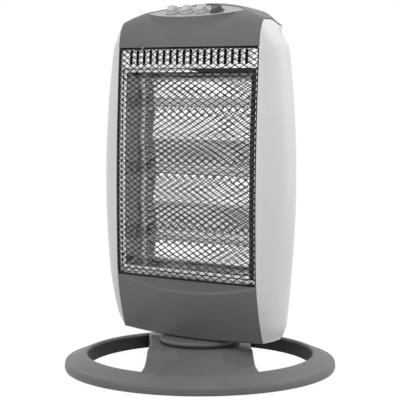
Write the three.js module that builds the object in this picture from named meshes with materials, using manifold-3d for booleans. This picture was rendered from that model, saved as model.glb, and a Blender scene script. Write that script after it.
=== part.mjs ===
// Three-tube halogen heater on an oscillating ring stand.
//
// Millimetres, +Z up. The origin is on the floor, under the swivel axis. The
// stand faces -Y. The heater head is built facing -Y in its own group, which is
// turned about Z by HEAD_YAW, the way the head stands at rest.

import * as THREE from 'three';
import Module from 'manifold-3d';

const wasm = await Module();
wasm.setup();

// ---------------------------------------------------------------- dimensions

const GAP = 0.3;              // clearance between touching pieces
const SEAM = 0.5;             // visible joint between two covers
const RUN = 0.6;              // running clearance of a moving piece
const WALL = 2.5;             // moulded wall of the head
const SHEET = 1.2;            // sheet metal
const HEAD_YAW = 35.5 * Math.PI / 180;

// Stand: a ring of U section, a bridge across it and a pedestal in the middle.
const RING_OUTER_R = 180;
const RING_WIDTH = 31;
const RING_INNER_R = RING_OUTER_R - RING_WIDTH;
const RING_INNER_Z = 22;      // height of the inner rim
const RING_WALL = 2.8;
const STAND_LIFT = 1.5;       // the ring stands this far off the floor on its feet
const BRIDGE_HALF_TOP = 65;   // half width at the pedestal
const BRIDGE_HALF_FOOT = 74;  // half width where it meets the ring
const PEDESTAL_Z = 34;
const PEDESTAL_HALF_Y = 60;   // flat top runs this far each way
const SCOOP_CENTRE = new THREE.Vector3(86, 88, 50);
const SCOOP_RADII = new THREE.Vector3(80, 52, 28);
const FOOT_R = 8;
const FOOT_RING_R = RING_OUTER_R - RING_WIDTH / 2;
const FOOT_STEM_R = 3;
const FOOT_ANGLES = [45, 135, 225, 315];
const POST_R = 5;
const PLATE_HALF = 56;
const POST_INSET = 10;
const POST_XY = PLATE_HALF - POST_INSET;
const PLATE_Z = 3.2;
const PLATE_T = 1.6;
const SCREW_R = 1.5;
const SCREW_HEAD_R = 3.6;

// Swivel: a fixed hollow spindle, and a disc under the head that turns on it.
const SPINDLE_R = 9;
const SPINDLE_BORE_R = 5.5;
const SPINDLE_FLANGE_R = 24;
const SPINDLE_TOP_Z = 63;
const WASHER_T = 1;
const WASHER_R = 42;
const DISC_R = 53;
const DISC_TOP_Z = 41.9;
const HUB_R = 20;
const HUB_TOP_Z = 52;
const FLOOR_Z = HUB_TOP_Z + GAP;        // sheet floor inside the head

// Oscillating drive: motor and crank in the head, anchor arm on the spindle.
const SWING = 40 * Math.PI / 180;       // each way from straight ahead
const ANCHOR_R = 20;
const CRANK_R = ANCHOR_R * Math.sin(SWING);
const MOTOR_X = -46;
const MOTOR_Y = ANCHOR_R * Math.cos(SWING);
const MOTOR_R = 21;
const MOTOR_H = 17;
const MOTOR_NOSE_R = 5.5;
const MOTOR_SHELF_Z = 74;
const LINK_Z = 66.6;
const LINK_T = 2;
const LINK_HALF_W = 4.5;
const CRANK_T = 2.6;
const PIN_R = 2;

// Head skin. Its front is bowed both ways; the side shells bulge out from it.
const HEAD_BOTTOM_Z = 46.8;
const CROWN_Z = 483.2;
const MIDDLE_Z = (HEAD_BOTTOM_Z + CROWN_Z) / 2;
const FRONT_Y = -44.2;        // middle of the front, at BOW_Z
const BOW_Z = MIDDLE_Z - 50;
const FRONT_R_PLAN = 875;
const FRONT_R_SIDE = 2940;
const TUCK_Z = HEAD_BOTTOM_Z + 93.2;   // below this the front also curves back over the stand
const TUCK_R = 320;
const ROLL_DEEP = 18;         // the top rolls back this far at the tips of the panel
const ROLL_FALL = 0.223;      // less by this per mm beyond them
const ROLL_HOLLOW = 22;       // and more by this beside the drum,
const ROLL_HOLLOW_W = 32;     // this far in from the tips
const EDGE_X = 112;           // the covers and the guard end here, the side shells begin
const BOTTOM_SAG = 4.4;       // the bottom edge hangs lower in the middle
const GUARD_BOTTOM_Z = 121.7;
const ROLL_H = 53.2;
const ROUND_START_Z = CROWN_Z - ROLL_H;   // the top begins to roll back here
const GUARD_TOP_Z = ROUND_START_Z - 5.3;
const CROWN_DROP = 0.00186;   // fall of the crown per mm of x squared
const SIDE_MAX_X = 148;
const SIDE_MID_Z = MIDDLE_Z - 9.5;
const SIDE_ROUND_H = 33.2;
const SIDE_ROUND_POWER = 1.2; // 2 would round the shoulder as an ellipse, 1 would slope it straight
const SIDE_TOP_Z = CROWN_Z - 24.8;
const SIDE_DROP = 19.3;       // the shells are narrower by this at SIDE_TOP_Z
const SIDE_R = (SIDE_TOP_Z - SIDE_MID_Z) ** 2 / (2 * SIDE_DROP);
const SIDE_ROUND_Z = SIDE_TOP_Z - SIDE_ROUND_H;
const SIDE_FOOT_R = 27;
const SIDE_FRONT_SHARE = 0.58; // share of the depth from front edge to widest point
const SLIT_Y = -8.7;          // small slit near the top of each side shell
const SLIT_Z = SIDE_ROUND_Z + 18.9;
const SLIT_LEN = 6;
const SLIT_H = 3;
const REAR_SEAM_Y = 21;       // joint between the front parts and the rear cover
const REAR_DEPTH = 22;

// Control panel: an almond plate, tipped towards the user, on a drum-like rise.
const PANEL_TILT = 18 * Math.PI / 180;
const PANEL_Y = -11;          // its tips
const PANEL_Z = CROWN_Z - 11.9;
const PANEL_HALF_X = 82;
const PANEL_FRONT = 25;       // reach of the front arc from the line of the tips
const PANEL_BACK = 33.5;
const PANEL_T = 3;
const PANEL_SINK = 0.6;
const DRUM_FOOT_Z = ROUND_START_Z + 10;
const SWITCH_PITCH = 23.5;
const SWITCH_DOWN = -1;       // along the panel from the line of the tips
const BEZEL_R = 9.5;
const BEZEL_H = 2.4;
const SWITCH_BODY_R = 8.3;
const SWITCH_DEPTH = 16;
const ROCKER_R = 6.8;
const ROCKER_H = 8.6;
const ROCKER_TIP = 9 * Math.PI / 180;   // off position, tipped back

// Reflector, lamps and guard.
const WIRE_W = 1.4;
const WIRE_T = 1.4;
const FLANGE_Y = frontY(EDGE_X - SEAM, GUARD_TOP_Z - SEAM) + WIRE_T + 2 * GAP;   // flat, just behind the guard's corners
const MOUTH_X = 104;
const MOUTH_TOP_Z = GUARD_TOP_Z - 27.7;
const MOUTH_BOTTOM_Z = GUARD_BOTTOM_Z + 8.3;
const TROUGHS = 3;
const RIDGE_DEEP = 17.5;      // from the flange back to a ridge between two troughs
const TROUGH_DEEP = 10;
const TROUGH_RIDGE_Y = FLANGE_Y + RIDGE_DEEP;
const TROUGH_BACK_Y = TROUGH_RIDGE_Y + TROUGH_DEEP;
const REFLECTOR_T = 1;
const SLOT_COUNT = 18;
const SLOT_PITCH = 10.85;
const SLOT_W = 4;
const SLOT_H = 20;
const SLOT_Z = GUARD_TOP_Z - 12.7;
const LAMP_Y = FLANGE_Y + 13.5;
const TUBE_R = 5;
const TUBE_WALL = 1;
const CAP_R = 6.5;
const CAP_X = 94;             // inner end of a lamp cap
const CAP_LEN = 14;
const HOLDER_X = 105.5;
const CHASSIS_BACK_Y = TROUGH_BACK_Y + 9;
const MESH_W = 44;            // width of one diamond opening of the guard
const MESH_H = 26;
const GUARD_RIM = 3;

// Rear cover openings.
const VENT_COUNT = 9;
const VENT_W = 4;
const VENT_H = 34;
const VENT_PITCH = 14;
const VENT_ROW_PITCH = 52;
const GRIP_LEN = 92;
const GRIP_DEEP = 17;
const GRIP_H = 26;
const GRIP_Z = GUARD_TOP_Z + 0.3;
const VENT_ROWS = [1, 2].map((i) => GRIP_Z - GRIP_H / 2 - 8 - VENT_ROW_PITCH * i);
const GLAND_Z = 88;
const GLAND_R = 7.5;
const REAR_SCREW_X = EDGE_X - 28;
const REAR_SCREWS = [MOUTH_BOTTOM_Z + 20, MOUTH_TOP_Z - 5].flatMap((z) => [[-REAR_SCREW_X, z], [REAR_SCREW_X, z]]);

// ------------------------------------------------------------------ finishes

const finish = (color, roughness, metalness = 0, extra = {}) =>
  new THREE.MeshStandardMaterial({ color, roughness, metalness, ...extra });
const MAT = {
  grey: finish(0x6b6b6b, 0.5),
  pale: finish(0xd9d9d9, 0.45),
  panel: finish(0xb0b0b0, 0.5),
  white: finish(0xe6e6e6, 0.4),
  dark: finish(0x3c3c3c, 0.45),
  black: finish(0x151515, 0.5),
  wire: finish(0x2a2a2a, 0.4, 0.8),
  bright: finish(0xf0f0f0, 0.2, 1),
  steel: finish(0x9a9a9a, 0.4, 1),
  ceramic: finish(0xe9e6df, 0.6),
  glass: finish(0xffffff, 0.05, 0, { transparent: true, opacity: 0.35 }),
  tungsten: finish(0x77716a, 0.5, 1),
  brass: finish(0xb8964c, 0.35, 1),
  rubber: finish(0x1c1c1c, 0.85),
};

// ------------------------------------------------------------------- solids

/** Weld a geometry into one closed mesh whose faces point out. */
function weld(geometry) {
  const pos = geometry.getAttribute('position');
  const index = geometry.index ? geometry.index.array : [...Array(pos.count).keys()];
  const seen = new Map();
  const verts = [];
  const remap = [];
  for (let i = 0; i < pos.count; i++) {
    const p = [pos.getX(i), pos.getY(i), pos.getZ(i)];
    const key = p.map((c) => Math.round(c * 1e4)).join(',');
    if (!seen.has(key)) { seen.set(key, verts.length / 3); verts.push(...p); }
    remap.push(seen.get(key));
  }
  let tris = [];
  for (let i = 0; i < index.length; i += 3) {
    const t = [remap[index[i]], remap[index[i + 1]], remap[index[i + 2]]];
    if (t[0] !== t[1] && t[1] !== t[2] && t[0] !== t[2]) tris.push(t);
  }
  const at = (i) => new THREE.Vector3(verts[3 * i], verts[3 * i + 1], verts[3 * i + 2]);
  const volume = tris.reduce((sum, [a, b, c]) => sum + at(a).dot(at(b).cross(at(c))), 0);
  if (volume < 0) tris = tris.map(([a, b, c]) => [a, c, b]);
  const out = new THREE.BufferGeometry();
  out.setAttribute('position', new THREE.Float32BufferAttribute(verts, 3));
  out.setIndex(tris.flat());
  return out;
}

/** A welded geometry as a solid that can be joined and cut. */
function solid(geometry) {
  const g = weld(geometry);
  return new wasm.Manifold(new wasm.Mesh({
    numProp: 3,
    vertProperties: new Float32Array(g.getAttribute('position').array),
    triVerts: new Uint32Array(g.index.array),
  }));
}

const join = (...parts) => parts.reduce((a, b) => a.add(b));
const cut = (body, ...tools) => tools.reduce((a, b) => a.subtract(b), body);

/** A solid back as a geometry. */
function geometryOf(body) {
  const m = body.getMesh();
  const out = new THREE.BufferGeometry();
  const v = new Float32Array(m.vertProperties.length / m.numProp * 3);
  for (let i = 0; i < v.length / 3; i++) {
    for (let k = 0; k < 3; k++) v[3 * i + k] = m.vertProperties[m.numProp * i + k];
  }
  out.setAttribute('position', new THREE.BufferAttribute(v, 3));
  out.setIndex(Array.from(m.triVerts));
  return out;
}

/** Box from its lowest to its highest corner. */
function boxGeo(lo, hi) {
  const g = new THREE.BoxGeometry(hi[0] - lo[0], hi[1] - lo[1], hi[2] - lo[2]);
  return g.translate((lo[0] + hi[0]) / 2, (lo[1] + hi[1]) / 2, (lo[2] + hi[2]) / 2);
}
const box = (lo, hi) => solid(boxGeo(lo, hi));

/** Round bar from one end to the other. */
function rodGeo(a, b, r, sides = 16, r2 = r) {
  const from = new THREE.Vector3(...a);
  const to = new THREE.Vector3(...b);
  const dir = to.clone().sub(from);
  const g = new THREE.CylinderGeometry(r2, r, dir.length(), sides);
  g.applyQuaternion(new THREE.Quaternion().setFromUnitVectors(
    new THREE.Vector3(0, 1, 0), dir.clone().normalize()));
  return g.translate(...from.add(to).multiplyScalar(0.5).toArray());
}
const rod = (a, b, r, sides, r2) => solid(rodGeo(a, b, r, sides, r2));

/** Body turned about Z: a closed profile of [radius, height] points. */
function turned(profile, sides = 32) {
  const pts = [...profile, profile[0]].map(([r, z]) => new THREE.Vector2(r, z));
  return solid(new THREE.LatheGeometry(pts, sides).rotateX(Math.PI / 2));
}

/** Body through closed rings of equal point count, one after another. */
function loft(rings, flat) {
  const n = rings[0].length;
  const index = [];
  for (let k = 0; k + 1 < rings.length; k++) {
    for (let i = 0; i < n; i++) {
      const a = k * n + i, b = k * n + (i + 1) % n;
      index.push(a, b, b + n, a, b + n, a + n);
    }
  }
  const end = (k, flip) => {
    const ring = rings[k].map((p) => new THREE.Vector2(p[flat[0]], p[flat[1]]));
    const forward = THREE.ShapeUtils.isClockWise(ring) !== THREE.ShapeUtils.isClockWise(
      rings[0].map((p) => new THREE.Vector2(p[flat[0]], p[flat[1]])));
    for (const [a, b, c] of THREE.ShapeUtils.triangulateShape(ring, [])) {
      if (flip !== forward) index.push(k * n + a, k * n + c, k * n + b);
      else index.push(k * n + a, k * n + b, k * n + c);
    }
  };
  // The first end must run against the walls, so its sense is taken from them.
  const first = rings[0].map((p) => new THREE.Vector2(p[flat[0]], p[flat[1]]));
  const tri = THREE.ShapeUtils.triangulateShape(first, []);
  const edges = new Set(tri.flatMap(([a, b, c]) => [`${a},${b}`, `${b},${c}`, `${c},${a}`]));
  const along = edges.has('0,1');
  end(0, along);
  end(rings.length - 1, !along);
  const g = new THREE.BufferGeometry();
  g.setAttribute('position', new THREE.Float32BufferAttribute(
    rings.flat().flatMap((p) => [p.x, p.y, p.z]), 3));
  g.setIndex(index);
  return g;
}

/** Shell between an outer and an inner grid of points. */
function shellGeo(outer, inner) {
  const rows = outer.length, cols = outer[0].length, n = rows * cols;
  const at = (i, j) => i * cols + j;
  const index = [];
  const quad = (a, b, c, d) => index.push(a, b, c, a, c, d);
  for (let i = 0; i + 1 < rows; i++) {
    for (let j = 0; j + 1 < cols; j++) {
      quad(at(i, j), at(i, j + 1), at(i + 1, j + 1), at(i + 1, j));
      quad(n + at(i, j), n + at(i + 1, j), n + at(i + 1, j + 1), n + at(i, j + 1));
    }
  }
  for (let i = 0; i + 1 < rows; i++) {
    quad(at(i, 0), at(i + 1, 0), n + at(i + 1, 0), n + at(i, 0));
    quad(at(i, cols - 1), n + at(i, cols - 1), n + at(i + 1, cols - 1), at(i + 1, cols - 1));
  }
  for (let j = 0; j + 1 < cols; j++) {
    quad(at(0, j), n + at(0, j), n + at(0, j + 1), at(0, j + 1));
    quad(at(rows - 1, j), at(rows - 1, j + 1), n + at(rows - 1, j + 1), n + at(rows - 1, j));
  }
  const g = new THREE.BufferGeometry();
  g.setAttribute('position', new THREE.Float32BufferAttribute(
    [...outer.flat(), ...inner.flat()].flatMap((p) => [p.x, p.y, p.z]), 3));
  g.setIndex(index);
  return g;
}

const grid = (us, vs, at) => us.map((u) => vs.map((v) => at(u, v)));
const steps = (a, b, n) => Array.from({ length: n + 1 }, (_, i) => a + (b - a) * i / n);
const V = (x, y, z) => new THREE.Vector3(x, y, z);

/** A named mesh from a solid or a geometry. */
function piece(name, shape, material) {
  const geometry = shape.isBufferGeometry ? weld(shape) : geometryOf(shape);
  geometry.computeVertexNormals();
  const mesh = new THREE.Mesh(geometry, material);
  mesh.name = name;
  return mesh;
}

// -------------------------------------------------------------- head surfaces

/** Front of the head, with inset measured inwards. */
function frontY(x, z, inset = 0) {
  const crown = crownZ(x) - inset;
  const rise = Math.min(1, Math.max(0, (z - ROUND_START_Z) / (crown - ROUND_START_Z)));
  const beyond = Math.abs(x) - PANEL_HALF_X, share = Math.min(1, Math.max(0, -beyond / ROLL_HOLLOW_W));
  const roll = ROLL_DEEP - ROLL_FALL * Math.max(0, beyond) + ROLL_HOLLOW * share * share * (3 - 2 * share);
  return FRONT_Y + inset + x * x / (2 * FRONT_R_PLAN) + (z - BOW_Z) ** 2 / (2 * FRONT_R_SIDE)
    + Math.max(0, TUCK_Z - z) ** 2 / (2 * TUCK_R) + roll * (1 - Math.sqrt(1 - rise * rise));
}
/** Height of the crown above a line x. */
function crownZ(x) { return CROWN_Z - CROWN_DROP * x * x; }
/** Height of the bottom edge of the head at x. */
function bottomZ(x) { return HEAD_BOTTOM_Z - BOTTOM_SAG * (1 - (x / EDGE_X) ** 2); }
/** How far a side shell stands out beyond EDGE_X at height z. */
function sideOut(z, inset = 0) {
  const top = SIDE_TOP_Z - inset, foot = HEAD_BOTTOM_Z + inset;
  let out = SIDE_MAX_X - inset - EDGE_X - (z - SIDE_MID_Z) ** 2 / (2 * SIDE_R);
  if (z > SIDE_ROUND_Z) out *= Math.max(0, 1 - ((z - SIDE_ROUND_Z) / (top - SIDE_ROUND_Z)) ** SIDE_ROUND_POWER) ** (1 / SIDE_ROUND_POWER);
  if (z < foot + SIDE_FOOT_R) out *= Math.sqrt(Math.max(0, 1 - ((foot + SIDE_FOOT_R - z) / SIDE_FOOT_R) ** 2));
  return Math.max(0, out);
}

// -------------------------------------------------------------------- stand

const stand = new THREE.Group();

/** Height of the bridge's top along its length. */
function bridgeZ(y) {
  const t = Math.min(1, Math.max(0, (Math.abs(y) - PEDESTAL_HALF_Y) / (RING_INNER_R - PEDESTAL_HALF_Y)));
  return PEDESTAL_Z - (PEDESTAL_Z - RING_INNER_Z + 0.6) * (1 - Math.cos(Math.PI * t)) / 2;
}
function bridgeHalf(y) {
  return BRIDGE_HALF_TOP + (BRIDGE_HALF_FOOT - BRIDGE_HALF_TOP) * Math.min(1, Math.abs(y) / RING_INNER_R);
}
function bridge(reach, inset, bottom) {
  const trim = rod([0, 0, -PEDESTAL_Z], [0, 0, 2 * PEDESTAL_Z], reach, 48);
  const ys = steps(-reach, reach, 14);
  return solid(loft(ys.map((y) => {
    const w = bridgeHalf(y) - inset, z = bridgeZ(y) - inset, r = 3;
    return [V(-w - 1, y, bottom), V(-w, y, z - r), V(-w + r, y, z), V(w - r, y, z), V(w, y, z - r), V(w + 1, y, bottom)];
  }), ['x', 'z'])).intersect(trim);
}
function scoops(grow) {
  const tools = [];
  for (const sx of [-1, 1]) for (const sy of [-1, 1]) {
    const g = new THREE.SphereGeometry(1, 20, 12).rotateX(Math.PI / 2);
    g.scale(SCOOP_RADII.x + grow, SCOOP_RADII.y + grow, SCOOP_RADII.z + grow);
    tools.push(solid(g.translate(sx * SCOOP_CENTRE.x, sy * SCOOP_CENTRE.y, SCOOP_CENTRE.z)));
  }
  return tools;
}

const ringSection = [
  [RING_OUTER_R - 1, STAND_LIFT], [RING_OUTER_R, 5], [RING_OUTER_R - 0.6, 9], [RING_OUTER_R - 3.4, 12],
  [RING_INNER_R + 16, RING_INNER_Z - 4.4], [RING_INNER_R + 5, RING_INNER_Z], [RING_INNER_R + 2, RING_INNER_Z - 0.2],
  [RING_INNER_R + 0.9, RING_INNER_Z - 2], [RING_INNER_R, STAND_LIFT],
  [RING_INNER_R + RING_WALL, STAND_LIFT], [RING_INNER_R + RING_WALL + 1, RING_INNER_Z - RING_WALL - 0.4],
  [RING_INNER_R + 15, RING_INNER_Z - 7.4], [RING_OUTER_R - 5.2, 8.6], [RING_OUTER_R - RING_WALL - 1, STAND_LIFT],
];
const footAt = (deg) => [FOOT_RING_R * Math.cos(deg * Math.PI / 180), FOOT_RING_R * Math.sin(deg * Math.PI / 180)];
const postAt = [[1, 1], [-1, 1], [-1, -1], [1, -1]].map(([i, j]) => [i * POST_XY, j * POST_XY]);
const FOOT_SEAT_Z = 2.5;
const FOOT_TOP_Z = FOOT_SEAT_Z - GAP;
const STEM_LEN = 6;

let standBody = join(turned(ringSection, 48), cut(bridge(RING_INNER_R + 1, 0, STAND_LIFT), ...scoops(0)));
standBody = cut(standBody, cut(bridge(RING_INNER_R - 0.6, RING_WALL, -1), ...scoops(RING_WALL)));
for (const deg of FOOT_ANGLES) {
  const [x, y] = footAt(deg);
  standBody = standBody.add(rod([x, y, FOOT_SEAT_Z], [x, y, 15.2], FOOT_R + 0.6, 8));
  standBody = standBody.subtract(rod([x, y, -1], [x, y, FOOT_SEAT_Z + STEM_LEN + 0.5], FOOT_STEM_R + GAP, 8));
}
for (const [x, y] of postAt) {
  standBody = standBody.add(rod([x, y, PLATE_Z + PLATE_T + GAP], [x, y, PEDESTAL_Z - 1.2], POST_R, 8));
  standBody = standBody.subtract(rod([x, y, 0], [x, y, 16], SCREW_R + GAP, 8));
}
standBody = standBody.subtract(rod([0, 0, PEDESTAL_Z - 14], [0, 0, PEDESTAL_Z + 6], SPINDLE_R + GAP, 24));
stand.add(piece('base_ring', standBody, MAT.grey));

FOOT_ANGLES.forEach((deg, i) => {
  const [x, y] = footAt(deg);
  const foot = join(rod([x, y, 0], [x, y, FOOT_TOP_Z], FOOT_R, 20),
    rod([x, y, 1], [x, y, FOOT_SEAT_Z + STEM_LEN], FOOT_STEM_R, 12));
  stand.add(piece(`foot_${i + 1}`, foot, MAT.rubber));
});

stand.add(piece('base_plate', cut(box([-PLATE_HALF, -PLATE_HALF, PLATE_Z], [PLATE_HALF, PLATE_HALF, PLATE_Z + PLATE_T]),
  ...postAt.map(([x, y]) => rod([x, y, 0], [x, y, 10], SCREW_R + GAP, 8))), MAT.steel));
postAt.forEach(([x, y], i) => {
  stand.add(piece(`base_screw_${i + 1}`, join(
    rod([x, y, PLATE_Z - GAP - 1.4], [x, y, PLATE_Z - GAP], SCREW_HEAD_R, 12, SCREW_HEAD_R - 0.8),
    rod([x, y, PLATE_Z - GAP - 0.5], [x, y, 14], SCREW_R, 8)), MAT.steel));
});

const FLANGE_TOP = PEDESTAL_Z - RING_WALL - GAP;
stand.add(piece('spindle', turned([
  [SPINDLE_BORE_R, FLANGE_TOP - 3], [SPINDLE_FLANGE_R, FLANGE_TOP - 3], [SPINDLE_FLANGE_R, FLANGE_TOP],
  [SPINDLE_R, FLANGE_TOP], [SPINDLE_R, SPINDLE_TOP_Z], [SPINDLE_BORE_R, SPINDLE_TOP_Z]], 24), MAT.steel));
stand.add(piece('bearing_washer', turned([
  [SPINDLE_R + RUN, PEDESTAL_Z + GAP], [WASHER_R, PEDESTAL_Z + GAP], [WASHER_R, PEDESTAL_Z + GAP + WASHER_T],
  [SPINDLE_R + RUN, PEDESTAL_Z + GAP + WASHER_T]], 32), MAT.white));

// The anchor arm stays with the stand; at rest the head is turned away from it.
const ARM_Z = FLOOR_Z + SHEET + RUN;
const ARM_T = 4;
const ARM_HALF_W = 4;
const anchorPin = V(0, ANCHOR_R, 0);
stand.add(piece('anchor_arm', cut(join(
  rod([0, 0, ARM_Z], [0, 0, ARM_Z + ARM_T], SPINDLE_R + 4.5, 24),
  box([-ARM_HALF_W, SPINDLE_R - 3, ARM_Z], [ARM_HALF_W, ANCHOR_R, ARM_Z + ARM_T]),
  rod([0, ANCHOR_R, ARM_Z], [0, ANCHOR_R, ARM_Z + ARM_T], ARM_HALF_W + 1, 16),
  rod([0, ANCHOR_R, ARM_Z], [0, ANCHOR_R, LINK_Z - 0.5], PIN_R, 12)),
rod([0, 0, HUB_TOP_Z], [0, 0, ARM_Z + 2 * ARM_T], SPINDLE_R + GAP, 24)), MAT.steel));

// --------------------------------------------------------------------- head

const head = new THREE.Group();
head.rotation.z = -HEAD_YAW;

head.add(piece('swivel_disc', turned([
  [SPINDLE_R + RUN, PEDESTAL_Z + 2 * GAP + WASHER_T], [DISC_R - 3, PEDESTAL_Z + 2 * GAP + WASHER_T],
  [DISC_R - 0.6, PEDESTAL_Z + 2.8], [DISC_R, DISC_TOP_Z - 2.2], [DISC_R - 1.6, DISC_TOP_Z],
  [HUB_R, DISC_TOP_Z], [HUB_R, HUB_TOP_Z], [SPINDLE_R + RUN, HUB_TOP_Z]], 36), MAT.grey));

// Sheet-metal frame: floor on the hub, two uprights, a shelf for the motor.
const FRAME_X = EDGE_X - 12;
const FRAME_FRONT_Y = -15;
const FRAME_BACK_Y = REAR_SEAM_Y + 3;
const FRAME_TOP = GUARD_BOTTOM_Z + 0.8;
const frame = cut(join(
  box([-FRAME_X, FRAME_FRONT_Y, FLOOR_Z], [FRAME_X, FRAME_BACK_Y, FLOOR_Z + SHEET]),
  box([-FRAME_X, FRAME_FRONT_Y, FLOOR_Z], [-FRAME_X + SHEET, FRAME_BACK_Y, FRAME_TOP - GAP]),
  box([FRAME_X - SHEET, FRAME_FRONT_Y, FLOOR_Z], [FRAME_X, FRAME_BACK_Y, FRAME_TOP - GAP]),
  box([-FRAME_X, FRAME_FRONT_Y + 5, MOTOR_SHELF_Z], [MOTOR_X + MOTOR_R + 3, FRAME_BACK_Y, MOTOR_SHELF_Z + SHEET])),
rod([0, 0, FLOOR_Z - 10], [0, 0, FLOOR_Z + 10], SPINDLE_R + RUN, 24),
rod([MOTOR_X, MOTOR_Y, MOTOR_SHELF_Z - 4], [MOTOR_X, MOTOR_Y, MOTOR_SHELF_Z + 6], MOTOR_NOSE_R + 0.5, 16));
head.add(piece('inner_frame', frame, MAT.steel));

const mx = MOTOR_X, my = MOTOR_Y;
const MOTOR_Z = MOTOR_SHELF_Z + SHEET + GAP;
const SHAFT_R = 3;
const CRANK_Z = LINK_Z + LINK_T + GAP;
head.add(piece('swing_motor', join(
  rod([mx, my, MOTOR_Z], [mx, my, MOTOR_Z + MOTOR_H], MOTOR_R, 24),
  rod([mx, my, MOTOR_Z - 1], [mx, my, MOTOR_Z + 2], MOTOR_NOSE_R, 16),
  box([mx - 8, my - MOTOR_R - 4, MOTOR_Z + 6], [mx + 8, my - MOTOR_R + 3, MOTOR_Z + 14]),
  rod([mx, my, CRANK_Z + CRANK_T - 1.2], [mx, my, MOTOR_Z], SHAFT_R - 0.8, 12)), MAT.steel));

// Crank and link stand where the rest pose puts them.
const crankAngle = Math.PI + Math.acos(HEAD_YAW / SWING);
const crankPin = V(mx + CRANK_R * Math.cos(crankAngle), my + CRANK_R * Math.sin(crankAngle), 0);
const anchorInHead = anchorPin.clone().applyAxisAngle(V(0, 0, 1), HEAD_YAW);

/** Flat bar with round ends between two points, from z0 to z1. */
function bar(a, b, half, z0, z1) {
  const along = b.clone().sub(a).setZ(0);
  const side = V(-along.y, along.x, 0).setLength(half);
  const outline = new THREE.Shape([a.clone().add(side), a.clone().sub(side), b.clone().sub(side), b.clone().add(side)]
    .map((p) => new THREE.Vector2(p.x, p.y)));
  const g = new THREE.ExtrudeGeometry(outline, { depth: z1 - z0, bevelEnabled: false }).translate(0, 0, z0);
  return join(solid(g), rod([a.x, a.y, z0], [a.x, a.y, z1], half, 16), rod([b.x, b.y, z0], [b.x, b.y, z1], half, 16));
}
const motorAxis = V(mx, my, 0);
head.add(piece('drive_crank', cut(join(
  bar(motorAxis, crankPin, 5, CRANK_Z, CRANK_Z + CRANK_T),
  rod([crankPin.x, crankPin.y, LINK_Z - 1.2], [crankPin.x, crankPin.y, CRANK_Z + 0.5], PIN_R, 12)),
rod([mx, my, CRANK_Z + CRANK_T - 1.6], [mx, my, CRANK_Z + 10], SHAFT_R - 0.8 + GAP, 12)), MAT.dark));
head.add(piece('drive_link', cut(bar(crankPin, anchorInHead, LINK_HALF_W, LINK_Z, LINK_Z + LINK_T),
  rod([crankPin.x, crankPin.y, LINK_Z - 5], [crankPin.x, crankPin.y, LINK_Z + 10], PIN_R + GAP, 12)), MAT.steel));

// Tip-over switch: a weight that hangs in a bracket and opens the circuit.
const TIP_HALF_X = 11;
const TIP_HALF_Y = 9;
const TIP_WALL = 2;
const TIP_H = 38;
const TIP_PIN_R = 1.5;
const TIP_WEIGHT_R = 7;
const TIP = V(FRAME_X - 48, 2, FLOOR_Z + SHEET + GAP);
const TIP_AXIS_Z = TIP.z + TIP_H - 4;
head.add(piece('tip_switch_bracket', cut(join(
  box([TIP.x - TIP_HALF_X, TIP.y - TIP_HALF_Y, TIP.z], [TIP.x + TIP_HALF_X, TIP.y + TIP_HALF_Y, TIP.z + TIP_WALL]),
  box([TIP.x - TIP_HALF_X, TIP.y - TIP_HALF_Y, TIP.z], [TIP.x - TIP_HALF_X + TIP_WALL, TIP.y + TIP_HALF_Y, TIP.z + TIP_H]),
  box([TIP.x + TIP_HALF_X - TIP_WALL, TIP.y - TIP_HALF_Y, TIP.z], [TIP.x + TIP_HALF_X, TIP.y + TIP_HALF_Y, TIP.z + TIP_H])),
rod([TIP.x - 2 * TIP_HALF_X, TIP.y, TIP_AXIS_Z], [TIP.x + 2 * TIP_HALF_X, TIP.y, TIP_AXIS_Z], TIP_PIN_R + 0.4, 12)), MAT.black));
head.add(piece('tip_pendulum', join(
  rod([TIP.x - TIP_HALF_X + 0.4, TIP.y, TIP_AXIS_Z], [TIP.x + TIP_HALF_X - 0.4, TIP.y, TIP_AXIS_Z], TIP_PIN_R, 12),
  box([TIP.x - 1.5, TIP.y - 2, TIP.z + 14], [TIP.x + 1.5, TIP.y + 2, TIP_AXIS_Z + 2]),
  rod([TIP.x - TIP_WEIGHT_R + 0.5, TIP.y, TIP.z + TIP_WEIGHT_R + 5], [TIP.x + TIP_WEIGHT_R - 0.5, TIP.y, TIP.z + TIP_WEIGHT_R + 5], TIP_WEIGHT_R, 16)), MAT.brass));

const BLOCK = V(SPINDLE_FLANGE_R + 6, REAR_SEAM_Y - 5, FLOOR_Z + SHEET + GAP);
head.add(piece('terminal_block', cut(box([BLOCK.x - 8, BLOCK.y - 8, BLOCK.z], [BLOCK.x + 8, BLOCK.y + 8, BLOCK.z + 13.7]),
  ...[-3, 3].map((dx) => rod([BLOCK.x + dx, BLOCK.y - 20, BLOCK.z + 7.5], [BLOCK.x + dx, BLOCK.y + 20, BLOCK.z + 7.5], 1.8, 8))), MAT.white));

// Chassis: a tray behind the reflector, open to the front.
const TRAY_X = EDGE_X - SEAM - 0.3;
const TRAY_FRONT = FLANGE_Y + REFLECTOR_T + GAP;
const TRAY_Z = [GUARD_BOTTOM_Z + 0.8, GUARD_TOP_Z - 0.8];
const screwHole = ([x, z]) => rod([x, 0, z], [x, REAR_SEAM_Y * 2, z], SCREW_R + GAP, 8);
head.add(piece('chassis', cut(
  box([-TRAY_X, TRAY_FRONT, TRAY_Z[0]], [TRAY_X, CHASSIS_BACK_Y + SHEET, TRAY_Z[1]]),
  box([-TRAY_X + SHEET, TRAY_FRONT - 5, TRAY_Z[0] + SHEET], [TRAY_X - SHEET, CHASSIS_BACK_Y, TRAY_Z[1] - SHEET]),
  ...REAR_SCREWS.map(screwHole)), MAT.steel));

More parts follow.
